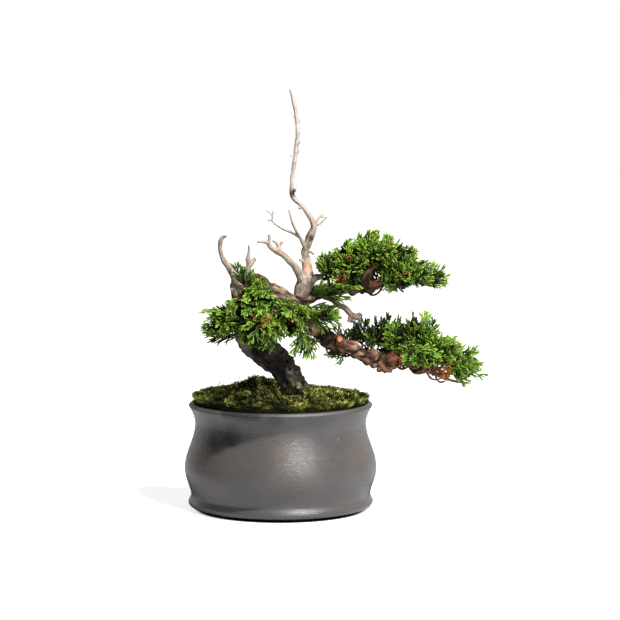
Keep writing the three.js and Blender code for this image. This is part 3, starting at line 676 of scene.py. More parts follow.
# %% Deadwood
crown_deadwood = [
    [[14.5, 0, 147, 5.4], [16, 0.5, 153, 6.6], [17.5, 1.5, 159, 6], [18.8, 2, 166, 4.1], [18, 2, 173, 3.3],
     [17.2, 2, 180, 2.7], [19.5, 1.5, 186, 2.6], [22, 1, 192.5, 2.4], [23, 1, 198, 2.2], [21.5, 1, 203, 2.1],
     [18, 2, 208.5, 1.9], [14, 3, 213, 1.7], [10, 4, 216.5, 1.8], [8, 5, 220.5, 2], [8, 5, 225.5, 1.7],
     [9, 5, 235.5, 1.6], [10.5, 4, 249, 1.45], [12, 3, 264.5, 1.35], [10.5, 3, 278.5, 1.35], [9, 3, 286, 1.3],
     [7, 3, 293, 1]],
    [[17, 0, 156, 4.2], [14, -2, 162.5, 3.1], [11.5, -4, 168.5, 2.7], [7, -6, 174, 2.4], [1.5, -8, 179, 2.2],
     [-3, -9, 181.5, 2], [-6.5, -10, 184, 1.7], [-9, -11, 187.5, 1.5], [-13, -12, 188, 1],
     [-16, -12, 188, 0.7]],
    [[-8.5, -11, 186.5, 1.5], [-7.5, -11, 190, 1.1], [-8, -11, 193, 0.8]],
    [[-1, -8, 180, 1.9], [-1, -7, 184.5, 1.5], [-3, -7, 187, 1], [-5.5, -7, 188.5, 0.7]],
    [[-1, -7, 183.5, 1.3], [0.5, -6, 186.5, 0.9], [1.5, -6, 187.8, 0.7]],
    [[18, 1, 181.5, 1.7], [14.5, -1, 188.5, 1.3], [11.5, -3, 194, 1.1], [8.5, -4, 200.5, 0.9],
     [7, -5, 206, 0.8], [6, -5, 210, 0.7]],
    [[13.8, -1.5, 190, 1], [8, -2, 193.5, 0.9], [2, -1, 196, 0.8], [-3.5, 0, 199.5, 0.75],
     [-6.5, 0, 202, 0.7], [-9, 0, 202, 0.6]],
    [[-6, 0, 201.5, 0.75], [-5.5, 0, 205.5, 0.65], [-7.5, 0, 207.5, 0.6], [-10, 0, 209, 0.5]],
    [[-5.8, 0, 205, 0.6], [-4.5, 0, 209, 0.5]],
    [[22.5, 1, 197, 1.4], [25.5, 2, 202, 1], [28, 3, 205, 0.85], [30.5, 4, 206.5, 0.6]],
    [[27.5, 3, 204.5, 0.75], [31, 3, 204, 0.5]],
    [[17.5, 3, 184, 1.7], [19.5, 6.5, 191, 1.4], [23, 9, 197, 1.1], [27.5, 10, 199, 0.8],
     [32.5, 11, 203.5, 0.6]],
    [[17.5, 1.5, 180, 1.2], [21, 1, 180, 0.9], [23.5, 1, 178, 0.6]],
    [[17, 1, 173, 1.3], [13.2, -1, 174.5, 0.9]],
    [[18, 3, 158, 5], [24, 3, 161.5, 3], [30, 4, 162.5, 1.6]],
]
hook_deadwood = [
    [[-27, 4, 155, 6.6], [-29.5, 4, 160.5, 6], [-31.8, 4, 163.5, 4.1], [-33.8, 4, 166, 2.9],
     [-36.5, 3, 170, 2.2], [-39.5, 2, 174, 1.9], [-41.5, 2, 179, 1.75], [-42, 2, 184, 1.65],
     [-41.5, 1, 188, 1.65], [-40, 1, 190.2, 1.4], [-37.5, 0, 191, 0.9]],
    [[-28, 4, 157, 6], [-25, 4, 161, 4.8], [-23.5, 3.5, 165, 2.8], [-22.6, 3, 169, 1.7], [-22.6, 3, 175, 1.5],
     [-22, 3, 179.5, 1], [-22, 3, 184.5, 0.7]],
    [[-22.5, 3.5, 168, 1.8], [-20, 5, 172.5, 1.9], [-17.5, 6, 175, 1.2]],
    [[-22.6, 3, 174, 1.5], [-24.6, 2.5, 174.8, 0.8]],
]
side_deadwood = [
    [[26.5, 3, 150.5, 2.4], [32, 5, 148, 2.2], [37, 2.5, 146, 2], [40.5, 1, 143, 1.9], [45.5, 0, 140.5, 1.75],
     [49, 0, 136.5, 1.75], [52.5, 0, 135, 1.5], [55, 0, 136.5, 0.9]],
    [[52, 0, 135.2, 1.3], [56, 0, 132.5, 0.8]],
    [[49, 0, 137, 1.5], [50, 1, 130.5, 1]],
]

# %% [markdown]
# ## The leafy masses
# Each mass of foliage grows on its own twig: where the twig leaves the wood, where the heart of the mass
# lies, and how far it reaches along x, y and z. Together they make the tree's pads: one over the trunk on
# the left, one on each branch to the right.

# %% Roots, hearts and reaches
leafy_masses = {
    "left_tip": ([-25, 5, 134], [-41, -8, 132], [13.5, 15, 10.5]),
    "left_shoulder": ([-24, 4, 144], [-26, -18, 140], [13.5, 14, 12.5]),
    "left_crest": ([-15, 3, 156], [-13, -18, 148], [12, 14, 12.5]),
    "left_brow": ([-24, 4, 153], [-24, -13, 161], [6.5, 7, 9]),
    "left_low": ([-7, 2, 151], [-13, -24, 126], [15.5, 15, 10.5]),
    "left_mid": ([4, 0, 147], [5, -20, 134.5], [13.5, 14, 12]),
    "left_inner": ([14, -1, 140], [17.5, -14, 129.5], [10.5, 11, 12]),
    "left_hanging": ([19.5, -2, 133.5], [18, -10, 115.5], [7.5, 8, 8]),
    "left_rear": ([-24, 8, 140], [-32, 20, 129], [14.5, 14, 9.5]),
    "left_rear_middle": ([-4, 3, 150], [-4, 24, 129], [14, 14, 10.5]),
    "upper_heel": ([33, 3, 154], [35.5, -4, 172], [11.5, 14, 9]),
    "upper_left": ([44, 4.5, 155], [49.5, -4, 178], [13, 16, 12]),
    "upper_crown": ([60, 3, 157], [67, -2, 183], [15.5, 18, 12.5]),
    "upper_shoulder": ([72, 1, 160], [82.5, -6, 175], [13.5, 17, 12]),
    "upper_right": ([88, 0, 160], [96.5, -4, 167], [12, 15, 9]),
    "upper_tip": ([100, 0, 158], [108.5, -2, 162.5], [8, 9, 6]),
    "upper_low": ([75, 1, 160], [81, -10, 160], [12, 10, 6]),
    "upper_front": ([48, 4.5, 155], [48, -16, 163], [12, 12, 7]),
    "upper_rear": ([52, 5, 155], [55.5, 24, 171], [14.5, 14, 10]),
    "upper_rear_right": ([78, 1, 160], [82, 20, 167], [13.5, 14, 9]),
    "centre_high": ([24, 1, 151], [37, -15, 152.5], [11, 11, 6.5]),
    "centre_low": ([19, -2, 134.5], [33.5, -13, 138], [10.5, 11, 7]),
    "under_branch": ([35, -1, 118], [39, 9, 106.5], [8.5, 9, 4]),
    "lower_heel": ([45, -4, 114.5], [53, 8, 121.5], [10, 11, 8]),
    "lower_left": ([62, -3, 108], [68, 5, 123], [11, 13, 10]),
    "lower_middle": ([76, -3, 105.5], [82, -4, 123], [11, 13, 10.5]),
    "lower_crown": ([86, -2, 103], [99, 3, 123.5], [12, 14, 13]),
    "lower_shoulder": ([100, -2, 98], [113.5, -8, 112.5], [13, 14, 11]),
    "lower_tip": ([112, -2, 93], [127.5, -2, 102.5], [12, 13, 11]),
    "lower_front": ([90, -2, 102], [99, -15, 109.5], [14, 11, 6.5]),
    "lower_rear": ([72, -3, 106.5], [85, 20, 112], [14, 14, 9]),
    "lower_rear_tip": ([96, -2, 99.5], [112, 22, 108], [14, 14, 9.5]),
}


def twig_line(root, heart):
    """The bark-covered twig from the wood towards the heart of a leafy mass."""
    root, heart = np.array(root, float), np.array(heart, float)
    middle = root + (heart - root) * 0.5 - [0, 0, 1.5]
    return [[*root, 2.0], [*middle, 1.1], [*(root + (heart - root) * 0.8), 0.8]]


# %% [markdown]
# ## From lines to wood
# Real limbs flow into each other, with a collar at each fork and no seam. Tubes pushed through each other
# and then rebuilt by a voxel remesh do the same: the remesh makes one skin round all of them. Skin
# modifiers also blend forks, but lose the exact thickness. After the remesh each vertex looks up the limb
# that it lies on, so that its place along and around the limb is known. That place drives the ridges, which
# are real geometry, and later the fibre in the material.


# %% Growing wood
def wound(points, stretch, turns, phase, outside, thickness):
    """A line wound round a stretch of a limb, given as two shares of its points. Outside is (times the limb's
    radius, plus mm) and thickness is the line's own radius at its start and its end."""
    count = len(points) - 1
    line = smooth_line(points, 0.5)
    steps = steps_along(line)
    marks = [steps[np.linalg.norm(line[:, :3] - np.array(p[:3]), axis=1).argmin()] for p in points]
    result = []
    for t in np.linspace(0, 1, int(turns * 28)):
        share = (stretch[0] + (stretch[1] - stretch[0]) * t) * count
        here = np.interp(share, np.arange(count + 1), marks)
        place = np.array([np.interp(here, steps, line[:, k]) for k in range(4)])
        ahead = np.array([np.interp(here + 0.5, steps, line[:, k]) for k in range(3)])
        along = unit(ahead - place[:3])
        across = unit(np.array([0, 1, 0]) - along * along[1])
        other = np.cross(across, along)
        angle = phase + turns * 2 * math.pi * t
        reach = place[3] * outside[0] + outside[1]
        middle = place[:3] + reach * (across * math.cos(angle) + other * math.sin(angle))
        result.append([*middle, thickness[0] + (thickness[1] - thickness[0]) * t])
    return result


LIMB_GAP = 50  # keeps one limb's stretch of fibre apart from the next one's, in mm
BLOCK = 4000  # vertices looked up at a time, to spare memory


def nearest_on_limbs(points, limbs, spacing):
    """For each point its place on the nearest limb, round it and along it, and the limb's radius there."""
    samples, acrosses, others, alongs, start = [], [], [], [], 0.0
    for limb in limbs:
        line = smooth_line(limb, spacing)
        across, other = sides_along(line)
        steps = steps_along(line)
        samples.append(line)
        acrosses.append(across)
        others.append(other)
        alongs.append(start + steps)
        start += steps[-1] + LIMB_GAP
    line, across, other = np.vstack(samples), np.vstack(acrosses), np.vstack(others)
    along = np.concatenate(alongs)
    found = np.empty(len(points), int)
    for first in range(0, len(points), BLOCK):
        block = points[first : first + BLOCK]
        distance = np.linalg.norm(block[:, None] - line[None, :, :3], axis=2) - line[None, :, 3]
        found[first : first + BLOCK] = distance.argmin(1)
    away = points - line[found, :3]
    u, v = (away * across[found]).sum(1), (away * other[found]).sum(1)
    size = np.maximum(np.hypot(u, v), 1e-6)
    radius = line[found, 3]
    return np.stack([u / size * radius, v / size * radius, along[found]], 1), radius


def grow_wood(name, limbs, sides, voxel, relief):
    """One skin round all the limbs. Its relief in mm comes from each vertex's grain, place and radius."""
    parts = [tube(smooth_line(limb, 1.0), sides) for limb in limbs]
    piece = mesh_object(name, *joined(parts))
    skin = piece.modifiers.new("skin", "REMESH")
    skin.mode, skin.voxel_size = "VOXEL", voxel * MM
    apply_modifiers(piece)
    mesh = piece.data
    count = len(mesh.vertices)
    places, normals = np.empty(count * 3, np.float32), np.empty(count * 3, np.float32)
    mesh.vertices.foreach_get("co", places)
    mesh.vertices.foreach_get("normal", normals)
    places, normals = places.reshape(-1, 3) / MM, normals.reshape(-1, 3)
    grain, radius = nearest_on_limbs(places, limbs, 1.0)
    heights = np.array([relief(Vector(g), Vector(p), r) for g, p, r in zip(grain, places, radius)])
    mesh.vertices.foreach_set("co", ((places + normals * heights[:, None]) * MM).astype(np.float32).ravel())
    add_value(mesh, "grain", grain)
    add_value(mesh, "relief", heights)
    mesh.shade_smooth()
    return piece


def stretched_noise(grain, width, length, seed=0.0):
    return noise.noise(Vector((grain.x / width + seed, grain.y / width, grain.z / length)))


# Where the wood swells or is flat, as in the photograph's outline: place, reach and height in mm.
SWELLINGS = [
    ((-18, 4, 99.5), 8, -3.6), ((-8, 4, 91.5), 6, -1.8), ((4, 3, 108), 7, 2.2), ((22, -3, 80), 5, -2.2),
    ((44, 0, 141), 8, 0.4), ((53, 0, 135), 4, 0.4), ((66, 2, 153), 6, 1.8), ((53, 3, 152), 5, 1.0),
    ((-36, 4, 147), 7, -2.0),
]


def swelling(place):
    shares = [(((place - Vector(spot)).length / reach) ** 2, rise) for spot, reach, rise in SWELLINGS]
    return sum(rise * math.exp(-share) for share, rise in shares)


def bark_relief(grain, place, radius):
    """Stringy bark: long ridges with furrows between them, broken into plates, and slow lumps under all."""
    share = min(1.0, radius / 8)
    lumps = noise.noise(place / 7.0) * 2.0 * share + noise.noise(place / 3.4) * 1.3 * min(1.0, radius / 5)
    ridges = 1 - abs(stretched_noise(grain, 1.9, 9)) * 2
    fibres = stretched_noise(grain, 0.9, 5, 7.3)
    plates = stretched_noise(grain, 3.5, 5, 3.1)
    strings = share * (0.75 * (ridges - 0.6) + 0.45 * fibres + 1.1 * plates) + 0.12 * fibres
    return swelling(place) + lumps + strings


def deadwood_relief(grain, place, radius):
    """Bare wood: fine grooves along the limb, with the odd swelling where a twig once was."""
    share = min(1.0, radius / 3)
    knots = noise.noise(place / 5.0) * 0.5 * share
    grooves = -max(0.0, stretched_noise(grain, 0.9, 11)) * 0.55
    return swelling(place) + knots + share * (grooves + 0.12 * stretched_noise(grain, 0.45, 6, 4.0))


# %% [markdown]
# ## Bark and bare wood
# Juniper bark peels in strings. It is dark and grey low on the trunk, pinkish brown over the arch where it
# was brushed, and orange-brown on the young branches. Furrows and sunken bark are coloured almost black,
# and the raised strings get painted highlights. The deadwood was stripped and bleached: pale grey with fine
# fibre lines, pinkish where it was cut lately, greenish grey where algae took hold, dark in the checks, and
# darker on its undersides as painted shade.


# %% Bark
# Colour marks on the bark: painted shade on the trunk under the left pad and where foliage hangs over the
# wood, painted light on the trunk's left edge and on a shaded stretch of branch, pale or reddish patches
# where the bark flaked, and the freshly sawn face of a stub.
BARK_TONES_AND_PAINTED_LIGHT = [
    # Painted shade: the trunk's core under the left pad.
    ((-1, -6, 101), 17, (6, 5, 4), 0.86),
    ((-12, -6, 112), 10, (15, 13, 10), 0.6),
    # Painted light: the trunk's left edge.
    ((-27, -2, 115), 8, (190, 172, 158), 0.55),
    ((-22, -3, 106), 5, (150, 136, 124), 0.6),
    # Pale, reddish and greenish patches on the bark.
    ((-13, -3, 98), 4.5, (110, 98, 88), 0.5),
    ((4, -2, 108), 4, (104, 98, 88), 0.5),
    ((112, -4, 92), 17, (188, 124, 96), 0.62),
    ((81, -6, 109), 8, (206, 118, 86), 0.6),
    ((12, -9, 91), 6.5, (128, 120, 94), 0.55),
    ((7, -7, 98), 3.5, (184, 178, 164), 0.6),
    ((12, -7, 96), 3, (150, 132, 92), 0.5),
    ((6, -3, 110), 3, (120, 112, 100), 0.5),
    # Painted shade where foliage and the upper branch hang over the wood, except the reddish twig mark.
    ((31, -5, 122), 9, (30, 20, 15), 0.85),
    ((16, -8.5, 149), 4.5, (50, 34, 28), 0.85),
    ((25, -2, 150), 7.5, (26, 18, 14), 0.85),
    ((20, -3, 141), 4, (40, 28, 21), 0.7),
    ((56, -6, 160), 5, (24, 16, 12), 0.8),
    ((66, -10, 161), 6, (150, 80, 56), 0.5),
    ((60, 0, 154), 13, (24, 17, 14), 0.75),
    # Pale bark at the base of the hook.
    ((-31, -2, 154), 7.5, (204, 186, 166), 0.7),
    # Painted light on the branch where the foliage shades it.
    ((22, -5, 127), 6.5, (232, 180, 136), 0.75),
]
SAWN_FACE = [
    ((41, -12.0, 120.6), 7, (96, 42, 24), 0.95),
    ((41.4, -13.2, 120.6), 2.7, (250, 176, 126), 0.95),
    ((41.4, -13.2, 120.6), 1.1, (206, 112, 62), 0.8),
]


def bark_material():
    material, tree, shader = new_material("juniper bark", IOR=1.45, Specular_IOR_Level=0.3)
    place = own_place(tree)
    axes = axes_of(tree, place)
    coarse = fibrous(tree, width=2.4, length=14.0, contrast=2.2)
    fine = fibrous(tree, width=0.7, length=7.0, contrast=2.4)
    old = mixed(tree, fine["Height"], paint(9, 8, 7), paint(116, 106, 92))
    brushed = mixed(tree, fine["Height"], paint(84, 62, 48), paint(190, 162, 142))
    young = mixed(tree, fine["Height"], paint(50, 32, 24), paint(158, 114, 86))
    up = rescaled(tree, axes["Z"], 0.125, 0.15)
    right = rescaled(tree, axes["X"], 0.015, 0.035)
    body = mixed(tree, right, mixed(tree, up, old, brushed), young)
    patches = mottled(tree, place, size=0.009, start=0.45, end=0.7)
    body = washed(tree, body, patches, 0.72, (42, 31, 24))
    rusty = mottled(tree, place, size=0.005, start=0.55, end=0.72)
    body = washed(tree, body, math_of(tree, "MULTIPLY", rusty, up), 0.55, (146, 88, 56))
    lichen = mottled(tree, place, size=0.004, start=0.52, end=0.68)
    shaded = math_of(tree, "MULTIPLY", lichen, math_of(tree, "SUBTRACT", 1.0, right))
    body = washed(tree, body, shaded, 0.45, (92, 96, 66))
    body = washed(tree, body, coarse["Furrow"], 0.8, (30, 22, 17))
    relief = vertex_value(tree, "relief")
    body = washed(tree, body, rescaled(tree, relief, -0.1, -1.1), 0.8, (22, 16, 13))
    # Painted highlights: raised bark is paler.
    wear_and_highlight = mixed(tree, up, paint(82, 75, 67), paint(178, 150, 126))
    wear_and_highlight = mixed(tree, right, wear_and_highlight, paint(166, 134, 108))
    high = math_of(tree, "MULTIPLY", rescaled(tree, relief, 0.1, 1.1), 0.6)
    body = mixed(tree, high, body, wear_and_highlight)
    # Painted light and shade, with the bark's own marks, laid over the bark colour.
    body = marked(tree, ragged(tree, place, 2.5), body, BARK_TONES_AND_PAINTED_LIGHT)
    body = marked(tree, place, body, SAWN_FACE)
    rough = rescaled(tree, fine["Height"], 0.0, 1.0, 0.95, 0.7)
    ridged = bumped(tree, fine["Height"], 0.0004, under=bumped(tree, coarse["Height"], 0.0009))
    surfaced(tree, shader, Base_Color=body, Roughness=rough, Normal=ridged)
    return material


# %% Bleached wood
# Knots, sleeves of inner bark and cracked joints in the bare wood.
WOOD_MARKS = [
    ((19, 0, 182), 7, (128, 122, 94), 0.5),
    ((21.6, -1, 189.5), 3.0, (46, 42, 28), 0.9),
    ((19, 0, 177), 2.2, (84, 78, 58), 0.6),
    ((18.5, 0, 169), 5.5, (216, 164, 132), 0.75),
    ((22.8, -2, 165.3), 1.8, (36, 25, 20), 0.9),
    ((7.8, 3, 220.3), 3.6, (62, 50, 34), 0.95),
    ((16, -4, 155.5), 5.5, (116, 106, 86), 0.65),
    ((18, 0, 149), 7, (48, 35, 28), 0.9),
    ((21, -2, 158), 3.2, (74, 60, 50), 0.7),
    ((-2, -9, 181), 2.6, (110, 92, 78), 0.6),
    ((-8.5, -11, 187), 2.4, (120, 98, 82), 0.6),
    ((2, -3, 195.5), 1.6, (70, 56, 48), 0.8),
    ((-23, 3, 167.5), 4, (112, 98, 86), 0.6),
    ((-31, 2, 162), 4.5, (122, 106, 92), 0.5),
]


def deadwood_material(title, dark, light):
    material, tree, shader = new_material(title, IOR=1.45, Specular_IOR_Level=0.3)
    place = own_place(tree)
    fibre = fibrous(tree, width=0.5, length=12.0, contrast=1.9)
    checks = fibrous(tree, width=1.3, length=16.0, contrast=2.2)
    body = mixed(tree, fibre["Height"], paint(*dark), paint(*light))
    pinkish = mottled(tree, place, size=0.012, start=0.45, end=0.65)
    sunned = rescaled(tree, axes_of(tree, place)["Z"], 0.2, 0.235)
    sheltered = math_of(tree, "SUBTRACT", 1.0, sunned)
    body = washed(tree, body, math_of(tree, "MULTIPLY", pinkish, sheltered), 0.5, (164, 130, 110))
    body = washed(tree, body, sunned, 0.45, (212, 200, 194))
    # Painted shade: surfaces that face down are darker and pinkish brown.
    facing = axes_of(tree, node(tree, "ShaderNodeNewGeometry").outputs["Normal"])["Z"]
    body = washed(tree, body, rescaled(tree, facing, 0.0, -0.7), 0.5, (132, 106, 92))
    algae = mottled(tree, place, size=0.006, start=0.58, end=0.7)
    body = washed(tree, body, algae, 0.5, (126, 121, 92))
    body = washed(tree, body, checks["Furrow"], 0.6, (92, 78, 66))
    sunk = rescaled(tree, vertex_value(tree, "relief"), -0.1, -0.45)
    body = washed(tree, body, sunk, 0.55, (96, 82, 70))
    body = marked(tree, ragged(tree, place, 2.0), body, WOOD_MARKS)
    rough = rescaled(tree, fibre["Height"], 0.0, 1.0, 0.85, 0.6)
    surfaced(tree, shader, Base_Color=body, Roughness=rough, Normal=bumped(tree, fibre["Height"], 0.00025))
    return material


# %% Make the wood
# The stubs of twiglets along the bare wood.
barbs = [
    [[10.6, 3, 273.5, 0.8], [8.6, 2.5, 274.6, 0.45]], [[12, 3, 269.5, 0.8], [13.8, 2.5, 271.8, 0.45]],
    [[12, 3, 261.5, 0.8], [13.9, 2, 263.6, 0.45]], [[11.8, 3, 254.5, 0.8], [13.8, 2, 257, 0.5]],
    [[11, 4, 248, 0.8], [13.2, 3, 250.8, 0.5]], [[10.2, 4, 245.8, 0.7], [6.2, 3, 247.2, 0.4]],
    [[9.5, 4, 222, 1.4], [10.6, 2, 224.5, 1.2]], [[14, 3, 211.8, 1.3], [13, 1.5, 209.8, 0.9]],
]
knuckles = [
    [[49, 0, 135.5, 1.5], [47.6, -0.5, 131, 1.1]],
    [[50, 0, 135.5, 1.7], [54, -0.5, 133.8, 1.6], [56, -0.5, 132.3, 1]],
    [[53, 0, 135, 1.4], [55.3, 0, 136.5, 0.9], [57, 0, 135, 0.6]],
]
twigs = [twig_line(root, heart) for root, heart, _ in leafy_masses.values()]
# Twiglets that grew twisted round the end of the lower branch.
strands = [
    wound(branch_line, (0.74, 0.935), turns, phase, (1.0, 2.3), (1.0, 0.8))
    for turns, phase in ((1.6, 0.3), (2.1, 2.4), (1.3, 4.4))
]
living = [trunk_line, branch_line, upper_branch_line, *small_wood, *bark_knobs, *twigs]
living += [strand[::4] for strand in strands]
trunk = grow_wood("living_wood", living, 24, 0.66, bark_relief)
finished(trunk, ["trunk"], bark_material())

bleached = deadwood_material("bleached wood", (112, 99, 87), (196, 186, 173))
# A darker copy of the bleached wood, as painted shade, for the side deadwood under the pads.
shadowed = deadwood_material("weathered wood", (72, 62, 55), (150, 136, 124))
bare_pieces = {
    "crown": (crown_deadwood + barbs, bleached),
    "hook": (hook_deadwood, bleached),
    "side": (side_deadwood + knuckles, shadowed),
}
for name, (limbs, bare_wood) in bare_pieces.items():
    piece = grow_wood("bleached_" + name, limbs, 16, 0.26, deadwood_relief)
    finished(piece, ["deadwood_" + name], bare_wood)

# %% [markdown]
# ## Training wire
# Copper-coloured aluminium wire, gone dark, is wound up each branch at a nearly steady pitch and holds it
# in its bend. It is a helix laid on the same branch line, a little outside the bark. The wire's ends are
# clipped square.


# %% Wire
WIRE_RADIUS = 0.75
WIRE_OUTSIDE = (1.06, WIRE_RADIUS)


def wire_material():
    material, tree, shader = new_material("darkened wire", Metallic=0.55)
    place = own_place(tree)
    wear_and_highlight = mottled(tree, place, size=0.003, start=0.45, end=0.7)
    scratches = noise_of(tree, place, scale=1800.0, detail=3.0)["Fac"]
    surfaced(tree, shader, Base_Color=mixed(tree, wear_and_highlight, paint(26, 19, 16), paint(78, 56, 43)),
             Roughness=rescaled(tree, wear_and_highlight, 0.0, 1.0, 0.38, 0.6), Normal=bumped(tree, scratches, 0.00005))
    return material


# Each winding's branch, the stretch of it that is wound, the number of turns and where the first one starts.
windings = {
    "lower": (branch_line, (0.475, 0.86), 4.2, 2.6),
    "upper": (upper_branch_line, (0.3, 0.86), 3.6, 0.6),
}
# A free end is bent back under the upper branch.
free_end = [[72, -2, 157.5], [70, -3.5, 154.3], [67.8, -4, 151.6], [65, -3.5, 150.2], [62, -3, 150.6]]
wire_look = wire_material()
for name, winding in windings.items():
    runs = [wound(*winding, WIRE_OUTSIDE, (WIRE_RADIUS, WIRE_RADIUS))]
    if name == "upper":
        runs.append([[*point, WIRE_RADIUS] for point in free_end])
    wire = mesh_object(f"wire_{name}", *joined([tube(smooth_line(run, 0.8), 10) for run in runs]))
    finished(wire, [f"wire_{name}_branch"], wire_look)

# %% [markdown]
# ## Foliage: one spray
# A juniper of this kind has no needles but cords: thin shoots covered in scale leaves. A cord branches left
# and right in turn, nearly in one plane, and its longer side cords branch again, so that a spray looks like
# a flat feather with blunt fingers. A few sprays are drawn from seeds, and copies of them are turned, scaled
# and bent into place. Particles or instances would render as well, but real meshes are what the exported
# model needs.

# %% Sprays
SPRAY_KINDS = 14
SPRAY_LENGTH = 17.0
CORD_RADIUS = 0.57
CORD_SIDES = 5
CORD_STEP = 2.3
FORKING_REACH = 5.5  # side cords longer than this fork once more


def cord_mesh(points, radius, ages, number):
    """One leafy cord with a blunt tip: vertices, triangles, and for each vertex its age (0 old, 1 the growing
    tip), its place round and along the cord, and the cord's number in its spray."""
    line = smooth_line(np.column_stack([points, np.full(len(points), radius)]), CORD_STEP)
    share = np.linspace(0, 1, len(line))
    line[:, 3] = radius * (0.85 + 0.3 * np.sin(math.pi * share**0.8) - 0.08 * share)
    tip = line[-1, :3] + unit(line[-1, :3] - line[-2, :3]) * radius * 1.4
    vertices, faces = tube(line, CORD_SIDES)
    last = len(vertices) - CORD_SIDES
    faces = faces[:-2] + [(last + i, last + (i + 1) % CORD_SIDES, len(vertices)) for i in range(CORD_SIDES)]
    steps = steps_along(line)
    turn = np.tile(round_angles(CORD_SIDES), len(line))
    age = np.append(np.repeat(ages[0] + (ages[1] - ages[0]) * share, CORD_SIDES), ages[1])
    scale = np.column_stack([np.cos(turn), np.sin(turn), np.repeat(steps, CORD_SIDES)])
    scale = np.vstack([scale, [0, 0, steps[-1] + radius]])
    return np.vstack([vertices, tip]), triangles_of(faces), age, scale, np.full(len(age), number)


def spray_cords(draw):
    """The cords of one spray that grows along +y with its face to +z: (points, radius, (age, age))."""
    length, marks = SPRAY_LENGTH, (0, 0.25, 0.5, 0.75, 1)
    sway = draw.uniform(-1.2, 1.2)
    main = [[sway * math.sin(2.2 * t), length * t, 0.6 * math.sin(3 * t)] for t in marks]
    cords = [(main, CORD_RADIUS, (0.0, 1.0))]
    count = draw.choice([5, 6, 7])
    for i in range(count):
        share = 0.1 + 0.8 * (i + draw.uniform(-0.25, 0.25)) / count
        hand = 1 if i % 2 else -1
        at = np.array([np.interp(share, marks, [p[k] for p in main]) for k in range(3)])
        reach = length * (0.6 - 0.33 * share) * draw.uniform(0.8, 1.15)
        lean = math.radians(draw.uniform(20, 36))
        lift = draw.uniform(-0.25, 0.35)
        way = np.array([hand * math.sin(lean), math.cos(lean), lift])
        end = at + way * reach + np.array([hand * -0.07, 0.05, 0.03]) * reach
        cords.append(([at, at + way * reach * 0.5, end], CORD_RADIUS * 0.95, (0.1 + 0.3 * share, 1.0)))
        if reach > FORKING_REACH:
            start = at + (end - at) * draw.uniform(0.35, 0.55)
            side = 1 if (i // 2) % 2 else -1
            turned = lean + side * math.radians(draw.uniform(22, 34))
            out = np.array([hand * math.sin(turned), math.cos(turned), lift + draw.uniform(-0.2, 0.3)])
            size = reach * draw.uniform(0.4, 0.55)
            fork = [start, start + out * size * 0.5, start + out * size]
            cords.append((fork, CORD_RADIUS * 0.9, (0.35, 1.0)))
    return cords


def spray_kind(seed):
    meshes = [cord_mesh(*cord, number) for number, cord in enumerate(spray_cords(random.Random(seed)))]
    vertices, faces = joined([(m[0], m[1]) for m in meshes])
    ages, numbers = (np.concatenate([m[k] for m in meshes]) for k in (2, 4))
    return vertices, faces, ages, np.vstack([m[3] for m in meshes]), numbers


spray_kinds = [spray_kind(seed) for seed in range(SPRAY_KINDS)]
print("a spray has about", len(spray_kinds[0][1]), "triangles")

# %% [markdown]
# ## Foliage: the leafy masses
# Each mass fills the egg-shaped space that its CAD node holds. Sprays end on the egg's surface, spread by
# the golden angle so that no side is bare. They don't stick straight out: they flow over the surface, away
# from the wood, and overlap like thatch, with their faces turned outwards. Inside, a looser layer keeps the
# light out, and shorter sprays clothe the twig. Pointing every spray outwards is simpler, but from each
# side the nearest ones would then be seen end on, as dots.

# %% Filling a mass
GOLDEN_ANGLE = 2.39996
AREA_PER_SPRAY = 56.0
OUTER_DEPTHS = (1.15, 1.08, 1.02, 1.0, 0.95, 0.9)
INNER_DEPTHS = (0.78, 0.68, 0.58)
INNER_SHARE = 0.5  # inner sprays for each outer one
FRONT_SIDE = 6  # what has a smaller y than this is seen from the front, in mm
# Where shoots have died, as seen from the front: x, z and how far the dead patch reaches, in mm.
WITHERED = [
    (-26, 139, 1.0), (-18, 137.5, 1.3), (-12, 131.5, 1.2), (9, 135, 1.0), (22.5, 117, 1.6), (47.5, 177, 1.6),
    (76, 187, 1.0), (42.5, 162.5, 2.6), (86, 167, 2.2), (25, 177, 1.0), (62, 172, 2.0), (108, 101, 1.6),
    (114, 98, 2.8),
]
# Where the grower keeps the wood free of leaves, as seen from the front: x, z and radius, in mm.
CLEARINGS = [
    (-8, 161, 5), (-1, 158, 6), (6, 153, 6), (12, 148, 4), (-30, 157.5, 6.5), (-31, 150, 4.5), (25.5, 130, 6),
    (41, 118, 5), (48, 141, 6.5), (42, 190, 6), (61.5, 166, 6.5), (69, 165, 5), (26, 124, 6), (6, 147, 5),
]
# Masses with a few long loose sprays instead of a full dome.
SPARSE = {
    "left_brow": 0.3, "under_branch": 0.15, "lower_heel": 0.3, "lower_left": 0.45, "centre_low": 0.3,
    "centre_high": 0.3, "left_hanging": 0.6,
}
# Masses in the shade of the others, and how much darker they are.
SHADED = {
    "left_brow": 0.5, "left_rear": 0.9, "lower_heel": 1.1, "lower_left": 0.9, "under_branch": 0.5,
    "upper_low": 0.3,
}
